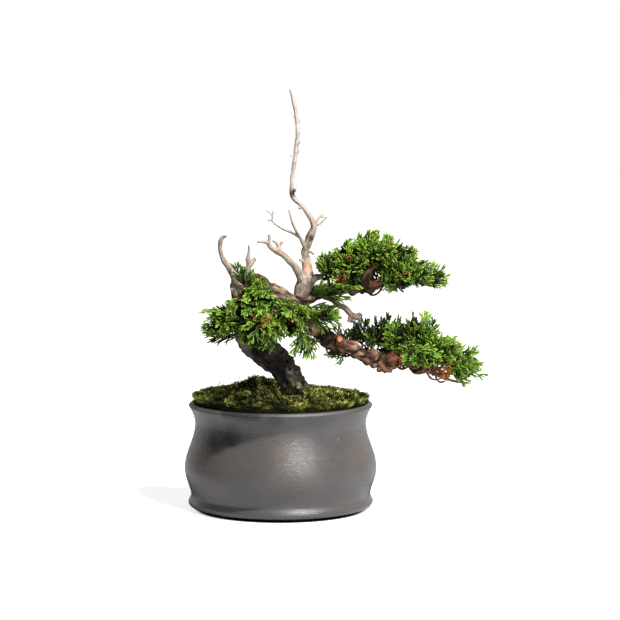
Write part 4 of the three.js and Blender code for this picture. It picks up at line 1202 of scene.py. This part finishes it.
# Single sprays that stand out from their mass: base and tip.
sprigs = {
    "left_brow": [([-24.5, -8, 156], [-31, -10, 173.5]), ([-22, -9, 154], [-26, -11, 171]),
                  ([-20, -10, 153], [-21, -12, 168.5])],
    "left_shoulder": [([-22, -8, 150], [-35.5, -11, 143]), ([-22, -8, 146], [-38, -12, 138.5]),
                      ([-23, -6, 141], [-37, -9, 131])],
    "left_crest": [([-4, -24, 149], [-17, -30, 141])],
    "left_tip": [([-41, -6, 130], [-55.5, -10, 128.5]), ([-36, -8, 135], [-49.5, -10, 138])],
    "left_rear": [([-34, 2, 123.5], [-51, 0, 121.5]), ([-32, 3, 121.5], [-50, 1, 118.5]),
                  ([-28, 3, 122], [-43, 2, 117])],
    "left_hanging": [([18, -8, 124], [15, -12, 107]), ([20, -8, 122], [22, -12, 106]),
                     ([14, -10, 124], [8, -14, 110])],
    "centre_high": [([24, -10, 151], [42, -16, 158]), ([26, -12, 150], [48, -16, 151]),
                    ([22, -8, 150], [31, -14, 160])],
    "centre_low": [([20, -10, 142], [37, -15, 141]), ([22, -10, 138], [42, -15, 130.5]),
                   ([20, -8, 136], [33, -14, 126])],
    "under_branch": [([42, 4, 111], [32, 4, 105.5]), ([46, 0, 112], [40, -3, 101.5])],
    "lower_heel": [([44, 4, 114], [38.5, 4, 128]), ([48, 3, 113], [46.5, 2, 126]),
                   ([52, 5, 113], [54, 4, 130]), ([57, 4, 112], [59.5, 3, 133]),
                   ([61, 2, 112], [63.5, 0, 127])],
    "lower_left": [([64, 5, 111], [68, 6, 131.5]), ([68, 3, 111], [73, 2, 133.5]),
                   ([72, 4, 110], [77.5, 5, 134.5]), ([74, 2, 110], [83, 0, 132.5])],
    "upper_crown": [([68, -4, 173], [75, -12, 161]), ([64, 6, 172], [69, 8, 159])],
    "upper_rear": [([55, 18, 173], [66, 13, 160]), ([60, 18, 176], [72, 13, 163]),
                   ([52, 16, 170], [61, 12, 159])],
    "lower_tip": [([128, -4, 99], [143, -4, 93]), ([127, -4, 103], [141, -4, 100]),
                  ([125, -2, 106], [138, -4, 112]), ([118, -6, 97], [131, -8, 88])],
    "upper_tip": [([106, -2, 160], [117.5, -3, 163]), ([104, -2, 163], [114, -4, 170]),
                  ([104, -4, 158], [115, -6, 157])],
}
# Sprays that died: mass, base and tip.
dead_sprigs = {
    "lower_shoulder": [([105, -7, 96], [119, -10, 101]), ([106, -7, 94], [118, -10, 96.5])],
    "upper_left": [([47, -10, 166], [39, -15, 162])],
    "left_mid": [([-4, -26, 134], [-13, -30, 136])],
}


def scatter(draw, amount):
    """A random shift of up to an amount along each axis."""
    return np.array([draw.uniform(-amount, amount) for _ in range(3)])


def frame_towards(direction, face):
    """A rotation that takes +y to a direction, with +z as near as possible to face."""
    y = unit(direction)
    z = unit(face - y * (face @ y))
    return np.column_stack([np.cross(y, z), y, z])


def shoot_parts(kind, base, tip, face, droop, tint, egg, withered_at, draw):
    """One spray from base to tip, in mm, sagging by droop in its middle, with its values. Cords deep inside
    the egg (heart and reach) of their mass are darker, as painted shade and as older foliage. The spots in
    withered_at are dead, or the whole spray where that is None."""
    vertices, faces, age, scale, numbers = kind
    size = np.linalg.norm(tip - base) / SPRAY_LENGTH
    reach = vertices[:, 1:2] / SPRAY_LENGTH
    placed = vertices * [0.45 + 0.55 * size, size, 0.45 + 0.55 * size] @ frame_towards(tip - base, face).T
    placed += base + np.array([0, 0, 4 * droop]) * (reach - reach**2)
    cords = numbers.max() + 1
    middles = np.stack([np.bincount(numbers, placed[:, k]) / np.bincount(numbers) for k in range(3)], 1)
    if withered_at is None:
        dead = np.full(cords, True)
    else:
        dead = np.array([any(math.hypot(m[0] - x, m[2] - z) < r for x, z, r in withered_at) for m in middles])
        dead[0] = False
    dead = dead | (np.array([draw.random() for _ in range(cords)]) < 0.004)
    # Painted shade: cords deep inside their mass are darker.
    buried = np.clip((0.98 - np.linalg.norm((middles - egg[0]) / egg[1], axis=1)) / 0.45, 0, 1)
    tones = np.clip(tint + buried * 1.1 + np.array([draw.uniform(-0.55, 0.55) for _ in range(cords)]), 0, 2)
    return placed, faces, age, scale, tones[numbers], dead[numbers].astype(float)


def stem_parts(start, end, draw):
    """The thin brown twiglet under a spray."""
    middle = (start + end) / 2 + scatter(draw, 1)
    line = smooth_line([[*start, 0.7], [*middle, 0.55], [*end, 0.5]], 3)
    vertices, faces = tube(line, 4)
    count = len(vertices)
    ages, scale = np.full(count, -1.0), np.zeros((count, 3))
    return vertices, triangles_of(faces), ages, scale, np.ones(count), np.zeros(count)


def laid_spray(way, depth, origin, heart, reach, draw):
    """The base, tip and face of a spray that ends at a depth of the egg, in a direction, and lies over it."""
    tip = heart + way * reach * depth
    flow = (tip - origin) * [1, 0.6, 1] + scatter(draw, 4)
    flow = unit(flow - way * (flow @ way))
    direction = unit(flow + way * (0.32 + 0.5 * max(0.0, way[2])))
    base = tip - direction * draw.uniform(14, 21)
    inside = np.linalg.norm((base - heart) / reach)
    base = heart + (base - heart) * min(1.0, 0.72 * depth / inside)
    face = way + np.array([0, 0, 0.3]) + scatter(draw, 0.25)
    return base, tip, face


def kept_clear(tip):
    seen = tip[1] < FRONT_SIDE
    return seen and any(math.hypot(tip[0] - x, tip[2] - z) < radius for x, z, radius in CLEARINGS)


def fill_mass(name, root, heart, reach, seed):
    draw = random.Random(seed)
    root, heart, reach = (np.array(v, float) for v in (root, heart, reach))
    withered_at = WITHERED if heart[1] < FRONT_SIDE else []
    twig_end = root + (heart - root) * 0.78
    origin = root + (heart - root) * 0.4
    area = 4 * math.pi * (reach[0] * reach[1] + reach[0] * reach[2] + reach[1] * reach[2]) / 3
    fullness, shade, egg = SPARSE.get(name, 1.0), SHADED.get(name, 0.0), (heart, reach)
    count = max(3, round(area * fullness / AREA_PER_SPRAY * (1 + INNER_SHARE)))
    parts = []
    for i in range(count):
        up = 1 - 2 * (i + 0.5) / count
        turn = i * GOLDEN_ANGLE + seed
        flat = math.sqrt(1 - up * up)
        way = unit(np.array([flat * math.cos(turn), flat * math.sin(turn), up]) + scatter(draw, 0.3))
        inner = draw.random() < INNER_SHARE / (1 + INNER_SHARE)
        depth = draw.choice(INNER_DEPTHS if inner else OUTER_DEPTHS)
        base, tip, face = laid_spray(way, depth, origin, heart, reach, draw)
        if kept_clear(tip):
            continue
        # Painted shade: inner sprays, and sprays that face down, are darker.
        tint = shade + (1.5 if inner else draw.uniform(0.0, 0.7) - min(0.0, way[2]) * 0.6)
        droop = draw.uniform(-0.3, 0.8)
        kind = draw.choice(spray_kinds)
        parts.append(shoot_parts(kind, base, tip, face, droop, tint, egg, withered_at, draw))
        parts.append(stem_parts(twig_end, base, draw))
    lone = [(*sprig, withered_at) for sprig in sprigs.get(name, [])]
    lone += [(*sprig, None) for sprig in dead_sprigs.get(name, [])]
    for base, tip, dead_at in lone:
        base, tip = np.array(base, float), np.array(tip, float)
        face = np.array([draw.uniform(-0.3, 0.3), -1.0, 0.4])
        kind = draw.choice(spray_kinds)
        droop = draw.uniform(-0.2, 0.4)
        tint = shade + draw.uniform(0.2, 0.8)
        parts.append(shoot_parts(kind, base, tip, face, droop, tint, egg, dead_at, draw))
        parts.append(stem_parts(twig_end, base, draw))
    for i in range(round(np.linalg.norm(heart - root) / 2.5 * fullness)):
        base = root + (heart - root) * draw.uniform(0.25, 0.95)
        way = unit(np.array([draw.uniform(-1, 1), draw.uniform(-1.2, 1), draw.uniform(-0.3, 1.2)]))
        if kept_clear(base):
            continue
        face = np.array([0, -0.7, 0.7])
        kind = draw.choice(spray_kinds)
        tip = base + way * draw.uniform(7, 11)
        tint = shade + draw.uniform(0.3, 1.2)
        parts.append(shoot_parts(kind, base, tip, face, 0.3, tint, egg, withered_at, draw))
    columns = {"age": 2, "tint": 4, "withered": 5, "scale": 3}
    values = {key: np.concatenate([p[k] for p in parts]) for key, k in columns.items()}
    return mesh_object("leaves_" + name, *joined([p[:2] for p in parts]), values)


# %% [markdown]
# ## The leaves' colour
# A cord is deep green inside the tree and under the pads, where painted shade also darkens it, fresh green
# along its length and yellow-green at its growing tip. A few sprays have died and turned orange-brown. The
# scale leaves are too small to model one by one in thousands of cords. They sit in pairs, each pair crossed
# with the next, so a saw-tooth along the cord's own length, shifted by half a step between its broad and its
# narrow sides, raises them as bump.


# %% Leaf material
SCALE_LENGTH = 1.5  # one pair of scale leaves, in mm


def foliage_material():
    material, tree, shader = new_material("juniper foliage", IOR=1.42, Specular_IOR_Level=0.35)
    place = own_place(tree)
    age = rescaled(tree, vertex_value(tree, "age"), -1.0, 1.0)
    fresh = ramp(tree, age, [
        (0.0, (98, 66, 49)), (0.4, (60, 44, 30)), (0.5, (11, 20, 7)), (0.65, (46, 86, 22)),
        (0.84, (98, 146, 40)), (1.0, (166, 196, 72)),
    ])
    # Painted shade: the tint each vertex carries darkens inner, downward and shaded cords.
    deep = math_of(tree, "MULTIPLY", vertex_value(tree, "tint"), 0.5, clamp=True)
    tinted = mixed(tree, deep, fresh, paint(12, 25, 9))
    drift = mottled(tree, place, size=0.012, start=0.4, end=0.7)
    tinted = washed(tree, tinted, drift, 0.14, (130, 158, 44))
    brown = ramp(tree, age, [(0.4, (78, 46, 30)), (0.75, (138, 76, 42)), (1.0, (206, 126, 64))])
    dry = math_of(tree, "MULTIPLY", vertex_value(tree, "withered"), 0.85)
    scale = axes_of(tree, vertex_value(tree, "scale", "Vector"))
    squared = math_of(tree, "POWER", math_of(tree, "ABSOLUTE", scale["X"]), 2.0)
    crossed = math_of(tree, "SUBTRACT", squared, 0.5)
    pair = math_of(tree, "MULTIPLY", math_of(tree, "GREATER_THAN", crossed, 0.0), 0.5)
    steps = math_of(tree, "ADD", math_of(tree, "DIVIDE", scale["Z"], SCALE_LENGTH), pair)
    leaf = math_of(tree, "FRACT", steps)
    surfaced(tree, shader, Base_Color=mixed(tree, dry, tinted, brown),
             Roughness=rescaled(tree, leaf, 0.0, 1.0, 0.55, 0.36), Normal=bumped(tree, leaf, 0.00022))
    return material


# %% Make the foliage
foliage_look = foliage_material()
for index, (name, (root, heart, reach)) in enumerate(leafy_masses.items()):
    finished(fill_mass(name, root, heart, reach, index), ["foliage_" + name], foliage_look)

# %% [markdown]
# ## Moss
# The soil is covered by cushions of moss that grew together and up against the trunk. Close to, it is a
# crowd of tiny star-shaped shoots. The ground under them is a lumpy dome from the CAD model's own formula
# with finer lumps on top, and each shoot is a ring of narrow leaves. Hair particles could stand for the
# shoots but would not be exported.

# %% Moss
MOSS_EDGE_TOP, MOSS_PLATEAU, MOUND_PLACE, MOUND_HEIGHT, MOUND_SPREAD = 75.0, 8.3, (-13, 5), 8.5, 12.0
MOSS_RADIUS = LIP_INNER - CLEARANCE - 0.4
MOSS_UNDERSIDE = 67.5
MOSS_SHOOTS = 7600
MOSS_EDGE_SHOOTS = 1500
MOSS_TONES = (0.25, 0.5, 0.75, 0.95, 1.15, 1.9)  # from shaded to sunlit shoots
# Painted shadow of the left pad on the moss.
PAINTED_MOSS_SHADOW = [((-13, -46, 80), 25, (14, 12, 6), 0.6), ((-36, -18, 82), 38, (8, 8, 3), 0.6)]
TRUNK_FOOT, TRUNK_REACH = (12.5, 2), 8  # no shoots grow where the trunk stands
GROUND_RINGS, GROUND_SIDES = 64, 140
STALK_PLACES = [(-44, -4), (-52, -8), (-30, 10), (30, -14), (44, 6), (-8, -38), (52, -12)]


def moss_height(x, y):
    """The CAD model's height of the moss at a place, in mm."""
    edge = min(1.0, math.hypot(x, y) / LIP_INNER)
    from_mound = math.hypot(x - MOUND_PLACE[0], (y - MOUND_PLACE[1]) * 0.8) / MOUND_SPREAD
    dome = math.sqrt(1 - edge**6)
    lumps = 0.9 * math.sin(x / 4.3 + 0.8) * math.cos(y / 5.1 + 0.4) + 0.7 * math.sin(x / 9 - y / 7 + 1.1)
    mound = MOUND_HEIGHT * dome * math.exp(-(from_mound**2) / 2)
    return MOSS_EDGE_TOP + dome * (MOSS_PLATEAU - 0.022 * x + lumps) + mound


def cushion_rise(x, y):
    """How far the moss rises at a place, in mm: narrow crests with round hollows between them."""
    hollows = abs(noise.noise(Vector((x / 9, y / 9, 0.5))))
    return 1.0 - hollows * 8.0 + noise.noise(Vector((x / 17, y / 17, 4))) * 2.6


def crest(x, y):
    """How pale the moss is at a place: 0.3 in the hollows, 1 on the crests, and paler on the mound as painted
    light.
    """
    # Painted light on the mound left of the trunk, which the pads shade.
    on_mound = 0.6 * math.exp(-(((x + 20) / 14) ** 2) - (((y - 8) / 14) ** 2))
    return min(1.0, max(0.3, 0.75 + cushion_rise(x, y) * 0.25)) + on_mound


def cushion_height(x, y):
    """The height of the moss with its crests, hollows and crumbs, in mm."""
    edge = min(1.0, math.hypot(x, y) / LIP_INNER)
    settle = 1 - edge**8
    crumbs = noise.noise(Vector((x / 1.8, y / 1.8, 2.5))) * 0.9
    against_trunk = 5.5 * math.exp(-(((x - 8) / 14) ** 2) - (((y + 10) / 7) ** 2))
    beside_trunk = 3.0 * math.exp(-(((x + 19) / 9) ** 2) - ((y / 12) ** 2))
    sunk = 1.8 + 0.06 * max(0.0, y)
    return moss_height(x, y) + settle * (cushion_rise(x, y) + crumbs + against_trunk + beside_trunk - sunk)


def star_shoot(draw):
    """One moss shoot: narrow leaves that leave a point and bend outwards, with their age from base to tip."""
    vertices, faces, ages = [], [], []
    for i in range(7):
        turn = i * GOLDEN_ANGLE + draw.uniform(-0.3, 0.3)
        out = np.array([math.cos(turn), math.sin(turn), 0])
        side = np.array([-math.sin(turn), math.cos(turn), 0])
        size, rise = draw.uniform(1.0, 2.2), draw.uniform(1.4, 3.4)
        base = len(vertices)
        vertices += [side * 0.12, out * size * 0.45 + side * 0.24 + [0, 0, rise * 0.6],
                     out * size * 0.45 - side * 0.24 + [0, 0, rise * 0.6], out * size + [0, 0, rise]]
        faces += [(base, base + 1, base + 2), (base + 1, base + 3, base + 2)]
        ages += [0.0, 0.5, 0.5, 1.0]
    return np.array(vertices), np.array(faces), np.array(ages)


def spore_stalk(draw):
    """A bare stalk with a small capsule at its top."""
    height, lean = draw.uniform(3.5, 6), draw.uniform(-1.5, 1.5)
    line = [[0, 0, 0, 0.34], [lean * 0.4, 0, height * 0.6, 0.32], [lean, 0, height, 0.3],
            [lean * 1.2, 0, height + 0.5, 0.45], [lean * 1.4, 0, height + 1.2, 0.2]]
    vertices, faces = tube(smooth_line(line, 1.0), 5)
    return vertices, triangles_of(faces), np.full(len(vertices), 0.55)


def moss_ground():
    """The lumpy ground under the shoots, closed below."""
    sides = GROUND_SIDES
    ground = [(0, 0, cushion_height(0, 0))]
    for k in range(1, GROUND_RINGS + 1):
        radius = MOSS_RADIUS * (k / GROUND_RINGS) ** 0.8
        for angle in round_angles(sides):
            x, y = radius * math.cos(angle), radius * math.sin(angle)
            ground.append((x, y, cushion_height(x, y)))
    below = len(ground)
    ground += [(x * 0.97, y * 0.97, MOSS_UNDERSIDE) for x, y, _ in ground[-sides:]]
    faces = [(0, 1 + i, 1 + (i + 1) % sides) for i in range(sides)]
    for k in range(GROUND_RINGS):
        low, high = 1 + k * sides, 1 + (k + 1) * sides
        faces += [(low + i, high + i, high + (i + 1) % sides, low + (i + 1) % sides) for i in range(sides)]
    faces.append(tuple(range(below, below + sides))[::-1])
    ages = [0.14 + 0.16 * crest(x, y) for x, y, _ in ground]
    return np.array(ground, float), triangles_of(faces), np.array(ages)


def spun(vertices, angle):
    """Points turned about +Z."""
    c, s = math.cos(angle), math.sin(angle)
    return vertices @ np.array([[c, -s, 0], [s, c, 0], [0, 0, 1]]).T


def moss_shoots(draw):
    """Every shoot that isn't under the trunk, leaning outwards, and a fringe of them round the edge."""
    kinds = [star_shoot(draw) for _ in range(14)]
    for i in range(MOSS_SHOOTS + MOSS_EDGE_SHOOTS):
        at_edge = i >= MOSS_SHOOTS
        radius = MOSS_RADIUS * math.sqrt((i + 0.5) / MOSS_SHOOTS)
        if at_edge:
            radius = MOSS_RADIUS - draw.uniform(0.1, 2.4)
        x = radius * math.cos(i * GOLDEN_ANGLE) + draw.uniform(-0.6, 0.6)
        y = radius * math.sin(i * GOLDEN_ANGLE) + draw.uniform(-0.6, 0.6)
        if math.hypot(x, y) > MOSS_RADIUS or math.hypot(x - TRUNK_FOOT[0], y - TRUNK_FOOT[1]) < TRUNK_REACH:
            continue
        vertices, faces, age = draw.choice(kinds)
        lean = np.array([x, y, 0]) / MOSS_RADIUS * (1.0 if at_edge else 0.35)
        lean += [draw.uniform(-0.25, 0.25), draw.uniform(-0.25, 0.25), 0]
        turned = spun(vertices, draw.uniform(0, 2 * math.pi)) * draw.uniform(0.6, 1.15)
        turned += turned[:, 2:3] * lean
        down = draw.uniform(-0.5, 1.5) if at_edge else 0.5
        place = np.array([x, y, cushion_height(x, y) - down])
        # Painted light: the fringe shoots round the edge are paler.
        paler = 0.12 if at_edge else 0.0
        yield turned + place, faces, age * crest(x, y) * draw.choice(MOSS_TONES) + paler


def moss_material():
    material, tree, shader = new_material("moss", IOR=1.4, Specular_IOR_Level=0.2)
    place = own_place(tree)
    age = vertex_value(tree, "age")
    green = ramp(tree, age, [
        (0.0, (7, 7, 3)), (0.25, (22, 26, 8)), (0.5, (98, 110, 28)), (0.8, (186, 192, 76)),
        (1.0, (236, 236, 150)),
    ])
    brown = ramp(tree, age, [(0.0, (11, 8, 4)), (0.4, (56, 42, 20)), (1.0, (184, 160, 92))])
    patches = mottled(tree, place, size=0.01, start=0.5, end=0.68)
    body = mixed(tree, math_of(tree, "MULTIPLY", patches, 0.7), green, brown)
    # Painted shadow of the left pad.
    body = marked(tree, ragged(tree, place, 6.0), body, PAINTED_MOSS_SHADOW)
    fluff = noise_of(tree, place, scale=1500.0, detail=3.0)["Fac"]
    surfaced(tree, shader, Base_Color=body, Roughness=rescaled(tree, fluff, 0.0, 1.0, 0.75, 0.95),
             Normal=bumped(tree, fluff, 0.0004))
    return material


# %% Make the moss
draw = random.Random(11)
parts = [moss_ground(), *moss_shoots(draw)]
for x, y in STALK_PLACES:
    vertices, faces, age = spore_stalk(draw)
    parts.append((vertices + [x, y, cushion_height(x, y)], faces, age))
values = {"age": np.concatenate([part[2] for part in parts])}
moss = mesh_object("moss_cushions", *joined([part[:2] for part in parts]), values)
finished(moss, ["moss"], moss_material())

# %% [markdown]
# ## What is inside the pot
# The soil and the plastic mesh over the drain holes keep their CAD shapes, since only a glimpse of them
# shows through the holes from below. They still get what the real ones are: grains of fired clay and a
# moulded mesh.


# %% Soil and drain screens
def soil_material():
    material, tree, shader = new_material("potting soil", IOR=1.4, Specular_IOR_Level=0.2)
    grains = node(tree, "ShaderNodeTexVoronoi", {"Vector": own_place(tree), "Scale": 420.0}).outputs
    tone = node(tree, "ShaderNodeSeparateColor", {"Color": grains["Color"]}).outputs[0]
    body = ramp(tree, tone, [(0.0, (64, 44, 30)), (0.6, (128, 88, 58)), (1.0, (168, 140, 112))])
    surfaced(tree, shader, Base_Color=body, Roughness=rescaled(tree, tone, 0.0, 1.0, 0.8, 1.0),
             Normal=bumped(tree, grains["Distance"], -0.0016))
    return material


def screen_material():
    material, tree, shader = new_material("moulded mesh")
    dust = mottled(tree, own_place(tree), size=0.002, start=0.45, end=0.7)
    surfaced(tree, shader, Base_Color=mixed(tree, dust, paint(30, 31, 28), paint(70, 62, 50)),
             Roughness=rescaled(tree, dust, 0.0, 1.0, 0.45, 0.8))
    return material


coat(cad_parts["soil"], soil_material())
moulded = screen_material()
for index in (1, 2, 3):
    coat(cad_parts[f"drain_screen_{index}"], moulded)

# %% [markdown]
# ## Floor and light
# The plant was photographed on a white table before a white backdrop. The main lamp is small and stands
# high at the front right: it lights the tops of the pads, and the pot's own rim throws a shadow that
# deepens to the left, where painted shade on the clay darkens it further. A softbox lower down draws the
# sheen on the clay. The backdrop lights the plant a little from behind and shows as a pale edge on each side
# of the pot. The table also shines by itself for the camera, more with distance, as an overexposed one does.
# A brighter lamp would do that too, but would burn out the plant. Right under the pot's skirt, where little
# light gets in, the table is painted nearly black as shadow.

# %% Floor
GLOW_NEAR, GLOW_FAR = 0.81, 1.05
GLOW_FROM, GLOW_TO = 0.12, 0.5  # metres from the pot's middle
SHADOW_MIDDLE, SHADOW_RADIUS, SHADOW_FADE = (0, -0.0025, 0), 0.0578, 0.003
FLOOR_HALF, FLOOR_DROP = 4000, 0.00005
corners = [(x * FLOOR_HALF, y * FLOOR_HALF, 0) for x, y in ((-1, -1), (1, -1), (1, 1), (-1, 1))]
floor = mesh_object("floor", corners, [(0, 1, 2, 3)])
floor.location.z = -FLOOR_DROP
floor_look, tree, shader = new_material("white table", Roughness=0.9, Specular_IOR_Level=0.1)
shader.inputs["Emission Color"].default_value = (1, 1, 1, 1)
glow = rescaled(tree, distance_of(tree, own_place(tree), (0, 0, 0)), GLOW_FROM, GLOW_TO, GLOW_NEAR, GLOW_FAR)
from_shadow = distance_of(tree, own_place(tree), SHADOW_MIDDLE)
uncovered = rescaled(tree, from_shadow, SHADOW_RADIUS, SHADOW_RADIUS + SHADOW_FADE)
seen = node(tree, "ShaderNodeLightPath").outputs["Is Camera Ray"]
shine = math_of(tree, "MULTIPLY", seen, math_of(tree, "MULTIPLY", glow, uncovered))
# Painted shadow: the table under the pot's skirt is nearly black.
table = mixed(tree, uncovered, (0.02, 0.02, 0.02, 1), (0.6, 0.6, 0.6, 1))
surfaced(tree, shader, Base_Color=table, Emission_Strength=shine)
coat(floor, floor_look)
floor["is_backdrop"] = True

# %% World and lights
ROOM_LIGHT, BACKDROP_LIGHT = 0.025, 0.72
BACKDROP_BEGINS, BACKDROP_FULL = 0.3, 0.7  # how far towards the back a direction points
world = bpy.data.worlds.new("white studio")
bpy.context.scene.world = world
world.use_nodes = True
tree = world.node_tree
background = tree.nodes["Background"]
background.inputs["Color"].default_value = (1, 1, 1, 1)
back = axes_of(tree, node(tree, "ShaderNodeTexCoord").outputs["Generated"])["Y"]
behind = rescaled(tree, back, BACKDROP_BEGINS, BACKDROP_FULL, ROOM_LIGHT, BACKDROP_LIGHT)
seen = node(tree, "ShaderNodeLightPath").outputs["Is Camera Ray"]
tree.links.new(rescaled(tree, seen, 0.0, 1.0, behind, 1.0), background.inputs["Strength"])


def softbox(name, place, target, size, watts):
    """A rectangular lamp that faces a target, all in metres."""
    lamp = bpy.data.objects.new(name, bpy.data.lights.new(name, "AREA"))
    lamp.data.shape, lamp.data.energy = "RECTANGLE", watts
    lamp.data.size, lamp.data.size_y = size
    place, target = Vector(place), Vector(target)
    turn = (target - place).to_track_quat("-Z", "Y").to_matrix().to_4x4()
    lamp.matrix_world = Matrix.Translation(place) @ turn
    bpy.context.scene.collection.objects.link(lamp)


softbox("key_front_right", (0.51, -0.50, 1.30), (0.02, 0, 0.12), (0.08, 0.08), 38)
softbox("sheen_front", (0.62, -1.3, 0.69), (0, 0, 0.06), (0.12, 0.24), 14.5)

# %% Finish
look_box = [list(corner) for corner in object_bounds()]
print("visual box in metres:", [[round(value, 3) for value in corner] for corner in look_box])
